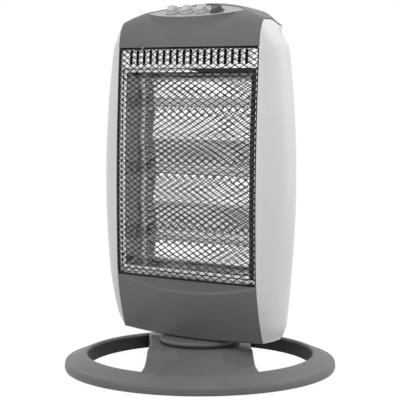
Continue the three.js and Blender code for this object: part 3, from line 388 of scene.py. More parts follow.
class Paint(Nodes):
    """A material: its Principled shader, fed by one of the groups.

    Args:
        name: name of the material.
        group: which group, if any.
        sizes: the group's inputs.
    """

    def __init__(self, name: str, group: Callable[[], Tree] | None = None, **sizes: object) -> None:
        """Make the material."""
        self.material = bpy.data.materials.new(name)
        self.material.use_nodes = True
        super().__init__(self.material.node_tree)
        self.shader = self.tree.nodes["Principled BSDF"]
        if group:
            self.masks = self.node("ShaderNodeGroup", {"node_tree": Group.get(group)}, **sizes).outputs

    def grey(self, mask: str, low: float, high: float) -> Socket:
        """Grey between low and high by one of the group's masks."""
        return self.mix(self.masks[mask], (low, low, low, 1), (high, high, high, 1))

    def number(self, mask: str, low: float, high: float) -> Socket:
        """Number between low and high by one of the group's masks."""
        return self.spread(self.masks[mask], To_Min=low, To_Max=high)

    def end(self, depth: float | None = None, **inputs: object) -> bpy.types.Material:
        """Set the shader's inputs, and the depth in millimetres of the group's Height."""
        for key, val in inputs.items():
            self.feed(self.shader.inputs[key.replace("_", " ")], val)
        if depth is not None:
            bump = self.node("ShaderNodeBump", Strength=1.0, Distance=depth * MM, Height=self.masks["Height"])
            self.feed(self.shader.inputs["Normal"], bump.outputs["Normal"])
        return self.material


@dataclass(frozen=True)
class Moulding:
    """Moulded plastic with a fine spark-eroded grain, slow colour drift and a little dust."""

    name: str
    shade: float
    drift: float = 0.06
    rough: float = 0.45
    grain_size: float = 1100.0
    grain_depth: float = 0.03
    dust: float = 0.04
    coat: float = 0.0

    def build(self) -> bpy.types.Material:
        """The material."""
        paint = Paint(self.name, Group.grain, Size=self.grain_size)
        clean = paint.grey("Mottle", self.shade * (1 - self.drift), self.shade * (1 + self.drift))
        dusty = paint.mix(paint.number("Dust", 0.0, self.dust), clean, (0.55, 0.55, 0.55, 1))
        return paint.end(self.grain_depth, Base_Color=dusty, Coat_Weight=self.coat, Coat_Roughness=0.25,
                         Roughness=paint.number("Mottle", self.rough - 0.05, self.rough + 0.05))


@dataclass(frozen=True)
class Metal:
    """Sheet, wire or turned metal with rolled streaks and a faint waviness."""

    name: str
    shade: float
    rough: float = 0.3
    contrast: float = 0.12
    streak: Point = (12.0, 12.0, 900.0)
    depth: float = 0.01
    wave_size: float = 30.0
    metallic: float = 1.0
    specular: float = 0.5

    def build(self) -> bpy.types.Material:
        """The material."""
        paint = Paint(self.name, Group.streaks, Across=self.streak, Wave_Size=self.wave_size)
        return paint.end(self.depth, Metallic=self.metallic, Specular_IOR_Level=self.specular,
                         Base_Color=paint.grey("Mask", self.shade * (1 - self.contrast), self.shade),
                         Roughness=paint.number("Wave", self.rough * 0.8, self.rough * 1.25))


@dataclass(frozen=True)
class Quartz:
    """Clear quartz tube with faint draw lines."""

    name: str = "Quartz"

    def build(self) -> bpy.types.Material:
        """The material."""
        paint = Paint(self.name, Group.streaks, Across=(20.0, 600.0, 600.0))
        return paint.end(0.01, Transmission_Weight=1.0, IOR=1.46, Roughness=paint.number("Mask", 0.02, 0.08),
                         Base_Color=paint.grey("Wave", 0.93, 0.99))


@dataclass(frozen=True)
class Ceramic:
    """Unglazed ceramic with fine speckle."""

    name: str = "Ceramic"
    shade: float = 0.78

    def build(self) -> bpy.types.Material:
        """The material."""
        paint = Paint(self.name, Group.grain, Size=1600.0, Cloud_Size=90.0)
        return paint.end(0.05, Base_Color=paint.grey("Mottle", self.shade * 0.93, self.shade),
                         Roughness=paint.number("Mottle", 0.55, 0.7))


class Finish(Enum):
    """Every finish on the heater."""

    GREY = Moulding("GreyMoulding", 0.155, rough=0.48)
    PALE = Moulding("PaleShell", 0.86, drift=0.02, rough=0.34, grain_depth=0.012, dust=0.0, coat=0.15)
    PANEL = Moulding("PanelPlate", 0.42, rough=0.4, grain_depth=0.02)
    WHITE = Moulding("WhiteSwitch", 0.6, drift=0.02, rough=0.35, grain_depth=0.008, dust=0.0, coat=0.1)
    DARK = Moulding("DarkSwitch", 0.07, rough=0.3, grain_depth=0.01, dust=0.02, coat=0.3)
    # Black plastic of the rivets and the tip switch bracket; on the sheets under the disc, round the
    # switches, inside the slits and round the mouth it is painted shade.
    BLACK = Moulding("BlackPlastic", 0.02, rough=0.5)
    # Near-black for the sleeve on the ring's inner wall: painted shade.
    LINING = Moulding("RingLining", 0.012, rough=0.7)
    RUBBER = Moulding("Rubber", 0.025, rough=0.8, grain_size=700.0, grain_depth=0.06)
    WIRE = Metal("GuardWire", 0.014, rough=0.5, contrast=0.3, metallic=0.0, depth=0.02, specular=0.25)
    BRIGHT = Metal("Reflector", 0.95, rough=0.38, contrast=0.06, streak=(8.0, 8.0, 500.0), depth=0.006,
                   wave_size=22.0)
    # Mirror-polished pan, its colour set darker than the flange's: painted shade inside the mouth.
    TROUGH = Metal("ReflectorPan", 0.6, rough=0.05, contrast=0.08, streak=(8.0, 8.0, 500.0), depth=0.004,
                   wave_size=22.0)
    STEEL = Metal("PlatedSteel", 0.55, rough=0.35)
    # Near-black steel of the chassis and lamp holders; on the chassis it is painted shade seen through the
    # flange's slots.
    BLUED = Metal("BluedSteel", 0.02, rough=0.6, metallic=0.4, specular=0.2)
    BRASS = Metal("Brass", 0.42, rough=0.3)
    TUNGSTEN = Metal("Tungsten", 0.3, rough=0.4)
    QUARTZ = Quartz()
    CERAMIC = Ceramic()


class Finishes:
    """Materials by finish, each made once."""

    _made: dict[Finish, bpy.types.Material] = {}

    @classmethod
    def get(cls, which: Finish) -> bpy.types.Material:
        """The material of a finish."""
        if which not in cls._made:
            cls._made[which] = which.value.build()
        return cls._made[which]


# ---------------------------------------------------------------------- meshes

@dataclass
class Skin:
    """Points and faces in millimetres that become one mesh object."""

    points: list[Point] = field(default_factory=list)
    faces: list[tuple[int, ...]] = field(default_factory=list)

    def sheet(self, rows: Sequence[Sequence[Point]], closed: bool = False,
              keep: Callable[[int, int], bool] = lambda i, j: True) -> "Skin":
        """Add a grid of quads.

        Args:
            rows: rows of points, all of one length.
            closed: whether each row is a ring.
            keep: whether cell (row, column) has a face.

        Returns:
            This skin.
        """
        first = len(self.points)
        width = len(rows[0])
        for row in rows:
            self.points.extend(row)
        for i in range(len(rows) - 1):
            for j in range(width if closed else width - 1):
                if keep(i, j):
                    k = (j + 1) % width
                    a, b = first + i * width, first + (i + 1) * width
                    self.faces.append((a + j, a + k, b + k, b + j))
        return self

    def turned(self, profile: Sequence[Pair], sides: int,
               at: Callable[[Point], Point] = lambda p: p) -> "Skin":
        """Add a profile of (radius, height) turned about Z, then moved by a function.

        Args:
            profile: the outline; a radius of 0 closes the end.
            sides: points round the axis.
            at: where each point goes.

        Returns:
            This skin.
        """
        rows = [[at((r * cos(a), r * sin(a), z)) for a in around(sides)] for r, z in profile]
        return self.sheet(rows, closed=True)

    def object(self, name: str, finish: Finish, in_head: bool = True, merge: float = 0.004) -> Piece:
        """Make the mesh object, with doubled points merged and faces turned outward.

        Args:
            name: name of the object.
            finish: its finish.
            in_head: whether the points are in the head's space.
            merge: points nearer than this become one.

        Returns:
            The object, in the scene.
        """
        place = HEAD.place if in_head else (lambda p: p)
        mesh = bpy.data.meshes.new(name)
        mesh.from_pydata([[c * MM for c in place(p)] for p in self.points], [], self.faces)
        mesh.materials.append(Finishes.get(finish))
        with editing(mesh) as bm:
            bmesh.ops.remove_doubles(bm, verts=bm.verts, dist=merge * MM)
            bmesh.ops.dissolve_degenerate(bm, edges=bm.edges, dist=merge * MM)
            bmesh.ops.recalc_face_normals(bm, faces=bm.faces)
        return put(name, mesh)


@contextmanager
def editing(mesh: bpy.types.Mesh) -> Iterator[bmesh.types.BMesh]:
    """A mesh opened for changes, which are written back at the end."""
    bm = bmesh.new()
    bm.from_mesh(mesh)
    yield bm
    bm.to_mesh(mesh)
    bm.free()


def put(name: str, data: bpy.types.ID) -> Piece:
    """Put a mesh, camera or light in the scene under a name."""
    made = bpy.data.objects.new(name, data)
    bpy.context.scene.collection.objects.link(made)
    return made


def dress(obj: Piece, body: str, slot: str, node: str | None = None) -> Piece:
    """Say which body carries a piece, and hide the node of the CAD it replaces, if any."""
    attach(obj, body)
    if node:
        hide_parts(node)
    return obj


def face_towards(obj: Piece, point: Point, sign: float = 1.0) -> None:
    """Turn an open skin so that its faces look away from a point.

    Args:
        obj: the object.
        point: a point inside, in millimetres in the frame.
        sign: -1 to look towards the point.
    """
    centre = Vector([c * MM for c in point])
    total = sum((p.center - centre).dot(p.normal) * p.area for p in obj.data.polygons)
    if total * sign < 0:
        obj.data.flip_normals()


def shade(obj: Piece, angle: float = 40.0) -> Piece:
    """Smooth the faces, with edges sharper than an angle in degrees left sharp."""
    obj.data.shade_smooth()
    with editing(obj.data) as bm:
        for edge in bm.edges:
            edge.smooth = len(edge.link_faces) == 2 and edge.calc_face_angle(0.0) < radians(angle)
    return obj


def wall(obj: Piece, thick: float) -> Piece:
    """Give an open skin a wall of that many millimetres, inward of its faces."""
    mod = obj.modifiers.new("Wall", "SOLIDIFY")
    mod.thickness = thick * MM
    mod.offset = -1.0
    mod.use_even_offset = False
    return obj


def rounded(obj: Piece, width: float, segments: int, angle: float) -> Piece:
    """Round the edges sharper than an angle by a width in millimetres."""
    mod = obj.modifiers.new("Rounded", "BEVEL")
    mod.width = width * MM
    mod.segments = segments
    mod.limit_method = "ANGLE"
    mod.angle_limit = radians(angle)
    mod.harden_normals = False
    return obj


def settle(obj: Piece, angle: float = 40.0) -> Piece:
    """Apply the modifiers, then set smooth and sharp edges."""
    graph = bpy.context.evaluated_depsgraph_get()
    solid = obj.evaluated_get(graph)
    mesh = bpy.data.meshes.new_from_object(solid, preserve_all_data_layers=True, depsgraph=graph)
    mesh.name = obj.name
    obj.modifiers.clear()
    old, obj.data = obj.data, mesh
    bpy.data.meshes.remove(old)
    return shade(obj, angle)


def walled(obj: Piece, inside: Point, thick: float, angle: float = 40.0) -> Piece:
    """Give an open skin of the head its wall, towards a point inside the head, and smooth it."""
    face_towards(obj, HEAD.place(inside))
    return settle(wall(obj, thick), angle)


def outline_plate(name: str, loops: Iterable[Sequence[Pair]], low: float, high: float,
                  at: Callable[[Point], Point], finish: Finish) -> Piece:
    """Flat plate from an outline and its holes.

    Args:
        name: name of the object.
        loops: closed outlines as (x, y); the first is outermost.
        low: height of the underside.
        high: height of the top.
        at: where each point (x, y, height) goes, in millimetres.
        finish: its finish.

    Returns:
        The plate.
    """
    curve = bpy.data.curves.new(name, "CURVE")
    curve.dimensions = "2D"
    curve.fill_mode = "BOTH"
    curve.extrude = (high - low) / 2
    for loop in loops:
        spline = curve.splines.new("POLY")
        spline.points.add(len(loop) - 1)
        spline.points.foreach_set("co", [c for x, y in loop for c in (x, y, 0.0, 1.0)])
        spline.use_cyclic_u = True
    shape = bpy.data.objects.new(name, curve)
    mesh = bpy.data.meshes.new_from_object(shape)
    for vertex in mesh.vertices:
        x, y, z = vertex.co
        vertex.co = [c * MM for c in at((x, y, z + (low + high) / 2))]
    made = put(name, mesh)
    bpy.data.objects.remove(shape)
    bpy.data.curves.remove(curve)
    mesh.materials.clear()
    mesh.materials.append(Finishes.get(finish))
    with editing(mesh) as bm:
        bmesh.ops.remove_doubles(bm, verts=bm.verts, dist=0.002 * MM)
        bmesh.ops.recalc_face_normals(bm, faces=bm.faces)
    return made


def ring_loop(x: float, y: float, r: float, n: int) -> list[Pair]:
    """Circle as points."""
    return [(x + r * cos(a), y + r * sin(a)) for a in around(n)]


def slot_loop(x: float, y: float, width: float, height: float, n: int = 8) -> list[Pair]:
    """Upright slot with round ends as points."""
    r, h = width / 2, (height - width) / 2
    top = [(x + r * cos(a), y + h + r * sin(a)) for a in (pi * i / n for i in range(n + 1))]
    return top + [(2 * x - px, 2 * y - py) for px, py in top]


# ----------------------------------------------------------------------- stand

@dataclass(frozen=True)
class StandParts:
    """Ring, bridge and swivel disc."""

    wall: float = 2.8
    sides: int = 192
    across: int = 72
    along: int = 120
    roll: float = 1.8
    dip: float = 1.5

    def section(self) -> list[Pair]:
        """Outer profile of the ring from its inner foot over the top to its outer foot."""
        r, lift = STAND.inner_r, STAND.lift
        return [(r, lift), (r + 0.3, 12.0), (r + 0.9, 20.0), (r + 1.3, 21.2), (r + 2.0, 21.8),
                (r + 3.4, 22.1), (154.0, STAND.rim_z), (157.0, 21.0), (161.0, 19.3), (165.0, 17.6),
                (169.0, 15.8), (173.0, 13.9), (174.6, 13.2), (175.6, 12.95), (177.2, 12.85), (178.4, 12.3),
                (179.2, 11.0), (179.7, 8.6), (STAND.outer_r, 5.0), (179.6, 3.0), (179.0, lift)]

    def bridge_z(self, x: float, y: float) -> float:
        """Top of the bridge: level, sloping to the ring, with a hollow at each corner."""
        s = STAND
        end = s.inner_r + s.onto
        t = clamp01((abs(y) * end / sqrt(end ** 2 - x * x) - s.pedestal_half) / (end - s.pedestal_half))
        fall = s.pedestal_z - s.rim_z - 0.05
        top = s.pedestal_z - fall * ((1 - cos(pi * t)) / 2 + t ** 1.7) / 2
        low = s.pedestal_z - fall * (1 - (1 - t) ** 4) - self.dip * sin(pi * t)
        (cx, cy), (rx, ry) = s.hollow_at, s.hollow_r
        reach = 1 - (min(0.0, abs(x) - cx) / rx) ** 2 - ((abs(y) - cy) / ry) ** 2
        return lerp(top, low, max(0.0, reach) ** 0.5)

    def bridge_half(self, y: float) -> float:
        """Half width of the bridge."""
        return lerp(STAND.half_top, STAND.half_foot, min(1.0, abs(y) / STAND.inner_r))

    def bridge(self, skin: Skin) -> None:
        """Add the bridge: its top and the walls down each side."""
        edge, roll = STAND.inner_r + STAND.onto, self.roll
        columns = []
        for i in range(self.across + 1):
            u = 2 * i / self.across - 1
            end = edge
            for _ in range(6):
                end = sqrt(edge ** 2 - (u * self.bridge_half(end)) ** 2)
            ys = [end * (2 * j / self.along - 1) for j in range(self.along + 1)]
            columns.append([(u * (self.bridge_half(y) - roll), y, self.bridge_z(u * self.bridge_half(y), y))
                            for y in ys])
        for side, sign in ((0, -1), (-1, 1)):
            line = columns[side]
            drops = [[(x + sign * roll * sin(a), y, z - roll * (1 - cos(a))) for x, y, z in line]
                     for a in (pi / 2 * k / 4 for k in range(1, 5))]
            drops.append([(x + sign * (roll + 0.4), y, STAND.lift) for x, y, _ in line])
            columns = drops[::-1] + columns if side == 0 else columns + drops
        skin.sheet(columns)

    def disc(self) -> list[Pair]:
        """Profile of the swivel disc and the hub on it."""
        s = STAND
        z0, z1 = s.disc_z
        bore, r, hub, top = s.spindle_r, s.disc_r, s.hub_r, s.hub_top
        return [(bore, z0), (r - 3.2, z0), (r - 2.4, z0 + 0.5), (r - 0.9, z0 + 1.4), (r - 0.3, z0 + 2.2),
                (r, z1 - 2.6), (r - 0.3, z1 - 1.2), (r - 1.0, z1 - 0.4), (r - 2.0, z1), (hub + 1.0, z1),
                (hub, z1 + 1.0), (hub, top - 0.6), (hub - 0.6, top), (bore, top), (bore, z0)]

    def skirt(self) -> list[Pair]:
        """Profile of the black ring under the disc's edge: painted shadow in the gap above the stand."""
        r, z = STAND.disc_r, STAND.disc_z[0]
        return [(r - 9, z - 1.2), (r - 1.6, z - 1.2), (r - 0.5, z - 0.6), (r - 0.3, z + 1.3),
                (r - 9, z + 1.3), (r - 9, z - 1.2)]

    def lining(self) -> list[Pair]:
        """Profile of the black sleeve on the ring's inner wall: painted shade."""
        r, z = STAND.inner_r, STAND.lift + 0.1
        return [(r - 0.2, z), (r + 0.1, 12.0), (r + 0.5, 18.8), (r + 0.9, 18.8), (r + 0.5, z), (r - 0.2, z)]

    def build(self) -> list[Piece]:
        """The ring with its bridge, the disc, and black sheets of painted shade under the disc's edge and on
        the ring's inner wall.
        """
        ring = Skin().turned(self.section(), self.sides)
        self.bridge(ring)
        base = ring.object("stand_moulding", Finish.GREY, in_head=False)
        self.outward(base)
        made = [dress(settle(wall(base, self.wall)), "stand", "grey_plastic", "base_ring")]
        # The black ring under the disc and the black sleeve inside the ring, below, are painted shade.
        for name, profile, sides, finish, body, slot, node in (
                ("turntable_disc", self.disc(), 128, Finish.GREY, "head", "grey_plastic", "swivel_disc"),
                ("disc_skirt", self.skirt(), 128, Finish.BLACK, "head", "black_plastic", None),
                ("ring_lining", self.lining(), self.sides, Finish.LINING, "stand", "black_plastic", None)):
            piece = Skin().turned(profile, sides).object(name, finish, in_head=False)
            made.append(dress(shade(piece), body, slot, node))
        return made

    def outward(self, base: Piece) -> None:
        """Turn each loose skin of the base so that its top looks up."""
        with editing(base.data) as bm:
            todo = set(bm.faces)
            while todo:
                island, stack = set(), [next(iter(todo))]
                while stack:
                    face = stack.pop()
                    if face not in island:
                        island.add(face)
                        stack.extend(f for e in face.edges for f in e.link_faces if f not in island)
                todo -= island
                if sum(f.normal.z * f.calc_area() for f in island) < 0:
                    bmesh.ops.reverse_faces(bm, faces=list(island))


# ---------------------------------------------------------------- head mouldings

@dataclass(frozen=True)
class Shells:
    """The two pale side shells."""

    wall: float = 2.2
    around: int = 40
    slit_y: Pair = (4.2, 7.4)
    slit_z: Pair = (442.6, 450.6)
    inside: Point = (60.0, 0.0, 270.0)

    def angle_at(self, y: float, z: float) -> float:
        """Where a side shell's section passes y at height z."""
        low, high = 0.0, pi
        for _ in range(40):
            mid = (low + high) / 2
            if HEAD.shell_point(1, mid, z)[1] < y:
                low = mid
            else:
                high = mid
        return low

    def build(self) -> list[Piece]:
        """Both shells."""
        slit = [self.angle_at(y, sum(self.slit_z) / 2) for y in self.slit_y]
        even = [pi * (i / self.around) for i in range(self.around + 1)]
        angles = sorted([t for t in even if all(abs(t - q) > 0.04 for q in slit)] + slit)
        foot = [HEAD.bottom + 0.05 + HEAD.shell_foot * (1 - cos(a)) for a in arc(0, 1, 8)]
        top_r = HEAD.shell_top - HEAD.shell_round
        top = [HEAD.shell_round + top_r * sin(a) for a in arc(0, 1, 14)]
        top = [z for z in top if all(abs(z - q) > 0.8 for q in self.slit_z)]
        heights = sorted(foot + steps(foot[-1], HEAD.shell_round, 60)[1:-1] + top + list(self.slit_z))

        def keep(i: int, j: int) -> bool:
            """Whether a cell lies outside the slit."""
            return not (self.slit_z[0] <= heights[i] < self.slit_z[1] and slit[0] <= angles[j] < slit[1])

        made = []
        for name, side in SIDES:
            rows = [[HEAD.shell_point(side, t, z) for t in angles] for z in heights]
            shell = Skin().sheet(rows, keep=keep).object(f"shell_{name}", Finish.PALE)
            walled(shell, self.middle(side), self.wall)
            made += [dress(shell, "head", "pale_plastic", f"side_shell_{name}"), self.plug(name, side)]
        return made

    def middle(self, side: int) -> Point:
        """Point inside a shell."""
        return side * self.inside[0], self.inside[1], self.inside[2]

    def plug(self, name: str, side: int) -> Piece:
        """Black sheet just inside a shell's slit: painted shade of the head's inside."""
        rows = []
        for z in steps(*self.slit_z, 4):
            across = [HEAD.shell_point(side, self.angle_at(y, z), z) for y in steps(*self.slit_y, 6)]
            rows.append([(x - side * 0.7, y, z - 0.3) for x, y, z in across])
        slit_shade_sheet = Skin().sheet(rows).object(f"slit_{name}", Finish.BLACK)
        return dress(walled(slit_shade_sheet, self.middle(side), 1.0), "head", "black_plastic")


@dataclass(frozen=True)
class UpperCover:
    """Hood over the guard, with the drum-like rise under the almond panel."""

    wall: float = 2.4
    lip: float = 1.1
    recess: float = 4.0
    blend: float = 12.0
    back: float = 22.0

    def columns(self) -> list[float]:
        """Places across the cover, with lines on both tips of the panel."""
        tip = PANEL.half_x
        side = steps(tip, HEAD.cover_x, 14)[1:]
        middle = [tip * sin(a) for a in arc(-1, 1, 110)]
        return [-x for x in reversed(side)] + middle + side

    def rim(self, x: float, reach: float, sign: int, shrink: float = 0.0, lift: float = 0.0) -> Point:
        """Point of the almond's edge at x, or of the crown line beyond its tips."""
        if abs(x) >= PANEL.half_x:
            return x, self.crown_y(x), HEAD.crown_z(x)
        limit = PANEL.half(shrink)
        return PANEL.on(max(-limit, min(limit, x)), sign * PANEL.arc(x, reach, shrink), lift)

    def crown_y(self, x: float) -> float:
        """Where the crown begins at x."""
        return HEAD.front_y(x, HEAD.crown_z(x))

    def front_column(self, x: float) -> list[Point]:
        """Points from the guard's top edge up to the drum's edge or the crown."""
        low = HEAD.guard_z[1] + 0.5
        _, drum_y, edge_z = self.rim(x, PANEL.reach_front, -1)
        crown = HEAD.crown_z(x)
        inside = abs(x) < PANEL.half_x
        edge_z = min(edge_z, crown)
        k = lerp(5.0, 0.8, smooth(abs(x) / PANEL.half_x))
        top = math.asin(clamp01((edge_z - HEAD.round_z) / (crown - HEAD.round_z)))
        zs = steps(low, HEAD.round_z, 5)[:-1]
        zs += [HEAD.round_z + (crown - HEAD.round_z) * sin(a) for a in steps(0, top, 44)]
        points = []
        for z in zs:
            y = HEAD.front_y(x, z)
            if inside:
                y = lerp(y, soft_min(y, drum_y, k), smooth((z - HEAD.round_z) / self.blend))
            points.append((x, y, z))
        return points

    def lip_points(self, x: float, reach: float, sign: int) -> list[Point]:
        """Points over the drum's edge, from the outside down into the panel's recess."""
        turns = ((0.35, 0.0), (self.lip, 0.0), (self.lip + 0.05, -self.recess))
        return [self.rim(x, reach, sign, shrink, lift) for shrink, lift in turns]

    def lip_row(self, x: float) -> list[Point]:
        """Front lip of the panel's recess at x; nothing beyond the panel's tips."""
        start = self.front_column(x)[-1]
        inside = abs(x) < PANEL.half_x
        return [start] + (self.lip_points(x, PANEL.reach_front, -1) if inside else [start] * 3)

    def back_row(self, x: float) -> list[Point]:
        """Rear lip of the recess at x, and the crown from there back to the seam."""
        edge = self.rim(x, PANEL.reach_back, 1)
        inside = abs(x) < PANEL.half_x
        row = self.lip_points(x, PANEL.reach_back, 1)[::-1] if inside else [edge] * 3
        seat = HEAD.crown_z(x)
        y0 = min(edge[1], self.back - 0.4)
        z0 = min(edge[2], seat)
        row += [(x, lerp(y0, self.back, t), lerp(z0, seat, smooth(t))) for t in steps(0, 1, 5)]
        return row + [(x, self.back, seat - 1.2)]

    def build(self) -> list[Piece]:
        """The upper cover."""
        skin = Skin()
        for line in (self.front_column, self.lip_row, self.back_row):
            skin.sheet([line(x) for x in self.columns()])
        cover = walled(skin.object("hood", Finish.GREY, merge=0.02), (0, 5, 430), self.wall, 32)
        return [dress(cover, "head", "grey_plastic", "upper_cover")]


@dataclass(frozen=True)
class LowerCover:
    """Bowed cover below the guard, with its soft arc and the rounded bottom edge."""

    wall: float = 2.4
    roll: float = 5.0
    relief: float = 1.3
    ledge: float = 3.0
    arc_low: float = 106.5
    arc_rise: float = 11.5
    arc_half: float = 100.0
    arc_power: float = 2.2
    arc_mid: float = 2.0

    def arc_z(self, x: float) -> float:
        """Height of the soft arc at x."""
        return self.arc_low + self.arc_rise * (abs(x - self.arc_mid) / self.arc_half) ** self.arc_power

    def surface(self, x: float, z: float) -> float:
        """Front of the cover, set back a little above the arc."""
        return HEAD.front_y(x, z) + self.relief * smooth((z - self.arc_z(x)) / self.ledge + 0.5)

    def column(self, x: float) -> list[Point]:
        """Points from the guard's bottom edge down, round the edge and back to the seam."""
        bottom = HEAD.bottom_z(x)
        low = bottom + self.roll
        front = [(x, self.surface(x, z), z) for z in steps(HEAD.guard_z[0] - 0.5, low, 90)]
        y0 = front[-1][1]
        turn = [(x, y0 + self.roll * (1 - cos(a)), low - self.roll * sin(a)) for a in arc(0, 1, 7)[1:]]
        end = HEAD.rear_y - 0.3
        under = [(x, y, bottom) for y in steps(turn[-1][1], end, 8)[1:]]
        return front + turn + under

    def build(self) -> list[Piece]:
        """The lower cover."""
        columns = [self.column(x) for x in steps(-HEAD.cover_x, HEAD.cover_x, 96)]
        hole = STAND.hub_r + 0.6

        def keep(i: int, j: int) -> bool:
            """Whether a cell clears the hub, which comes up through the bottom."""
            corners = [columns[a][b] for a in (i, i + 1) for b in (j, j + 1)]
            return all(hypot(x, y) > hole or y < -25 for x, y, _ in corners)

        cover = Skin().sheet(columns, keep=keep).object("lower_front", Finish.GREY)
        walled(cover, (0, 10, 90), self.wall)
        return [dress(cover, "head", "grey_plastic", "lower_cover")]


# ------------------------------------------------------------ panel and switches

@dataclass(frozen=True)
class ControlPanel:
    """Almond plate with four round rocker switches."""

    shrink: float = 1.3
    whites: int = 3
    dish_r: float = 11.0
    dish_down: float = 9.5
    dish_up: float = 4.6

    def switch_xs(self) -> list[float]:
        """Places of the switches across the panel."""
        return [PANEL.pitch * (i - 1.5) for i in range(4)]

    def outline(self) -> list[Pair]:
        """Edge of the plate in the panel's plane."""
        xs = [PANEL.half(self.shrink) * sin(a) for a in arc(-1, 1, 72)]
        back = [(x, PANEL.arc(x, PANEL.reach_back, self.shrink)) for x in xs]
        front = [(x, -PANEL.arc(x, PANEL.reach_front, self.shrink)) for x in reversed(xs)]
        return back + front[1:-1]

    def bezel(self) -> list[Pair]:
        """Profile of a switch's collar and its top edge."""
        z0, r, inner = -PANEL.sink + 0.02, PANEL.bezel_r, PANEL.rocker_r
        return [(r - 0.7, z0 - 1.0), (r - 0.2, z0), (r, z0 + 0.3), (r, z0 + 1.3), (r - 0.12, z0 + 1.8),
                (r - 0.5, z0 + 2.2), (r - 1.0, z0 + 2.4), (inner + 1.5, z0 + 2.4), (inner + 1.2, z0 + 2.2),
                (inner + 1.05, z0 + 1.8), (inner + 1.0, z0)]

    def well(self) -> list[Pair]:
        """Profile of the black well under a rocker, which shows as a dark line round it: painted shade in the
        gap between rocker and collar.
        """
        r, seat = PANEL.rocker_r, -PANEL.sink
        return [(r + 0.98, seat + 1.9), (r + 0.9, seat + 0.2), (r + 0.8, -5.8), (0.0, -5.8)]

    def gap(self) -> list[Pair]:
        """Profile of the black line round a collar: painted shadow."""
        r, seat = PANEL.bezel_r, -PANEL.sink
        return [(r - 0.3, seat + 0.1), (r + 0.5, seat + 0.1), (r + 0.6, seat - 0.1), (r - 0.3, seat - 0.1),
                (r - 0.3, seat + 0.1)]

    def knob(self) -> list[Pair]:
        """Profile of a rocker, from its pointed foot to the middle of its top."""
        r, h = PANEL.rocker_r, PANEL.rocker_h
        side = [(0.0, -4.6), (4.4, -4.6), (r - 0.7, -1.6), (r - 0.2, -0.6), (r, 0.2)]
        side += [(r, z) for z in steps(1.0, h - 2.6, 5)]
        dome = [(r - 1.4 + 1.4 * cos(a), h - 2.6 + 1.8 * sin(a)) for a in arc(0, 1, 5)[1:]]
        return side + dome + [(q * (r - 1.4), h - 0.8 + 0.8 * (1 - q * q)) for q in steps(1, 0, 12)[1:]]

    def rocker(self, x: float) -> Callable[[Point], Point]:
        """Where a point of a rocker's own space goes: tipped back, then set on the panel."""
        seat = 2.4 - PANEL.sink - 1.0
        c, s = cos(-PANEL.rocker_tip), sin(-PANEL.rocker_tip)

        def at(p: Point) -> Point:
            """A point of the rocker, with its top hollowed by a sphere."""
            dish = max(0.0, self.dish_r ** 2 - p[0] ** 2 - (p[1] + self.dish_down) ** 2)
            z = min(p[2], PANEL.rocker_h + self.dish_up - sqrt(dish)) if dish and p[2] > 3 else p[2]
            y, up = p[1] * c - z * s, p[1] * s + z * c
            return PANEL.on(x + p[0], PANEL.down + y, seat + up)
        return at

    def build(self) -> list[Piece]:
        """The plate, the switches and the rockers."""
        holes = [ring_loop(x, PANEL.down, PANEL.bezel_r - 1.0, 48) for x in self.switch_xs()]
        low, high = -PANEL.thick - PANEL.sink, -PANEL.sink
        plate = outline_plate("almond_plate", [self.outline()] + holes, low, high,
                              lambda p: HEAD.place(PANEL.on(*p)), Finish.PANEL)
        made = [dress(settle(rounded(plate, 0.5, 3, 40), 30), "head", "panel_plastic", "control_panel")]
        for i, x in enumerate(self.switch_xs()):
            n = i + 1
            white = i < self.whites
            finish, slot = (Finish.WHITE, "white_plastic") if white else (Finish.DARK, "dark_plastic")

            def on(p: Point, x: float = x) -> Point:
                """A point of a switch's own space on the panel."""
                return PANEL.on(x + p[0], PANEL.down + p[1], p[2])

            collar = Skin().turned(self.bezel(), 64, on).object(f"collar_{n}", finish)
            face_towards(collar, HEAD.place(PANEL.on(x, PANEL.down, -3)))
            dress(shade(collar), "head", slot, f"switch_{n}")
            # Two black pieces of painted shade for each switch: the well round its rocker and the line round
            # its collar.
            for part, outline in (("well", self.well()), ("gap", self.gap())):
                dark = Skin().turned(outline, 64, on).object(f"{part}_{n}", Finish.BLACK)
                made.append(dress(shade(dark), "head", "black_plastic"))
            knob = Skin().turned(self.knob(), 64, self.rocker(x)).object(f"knob_{n}", finish)
            made += [collar, dress(shade(knob, 42), f"rocker_{n}", slot, f"rocker_{n}")]
        return made


# ------------------------------------------------------------------- node trees

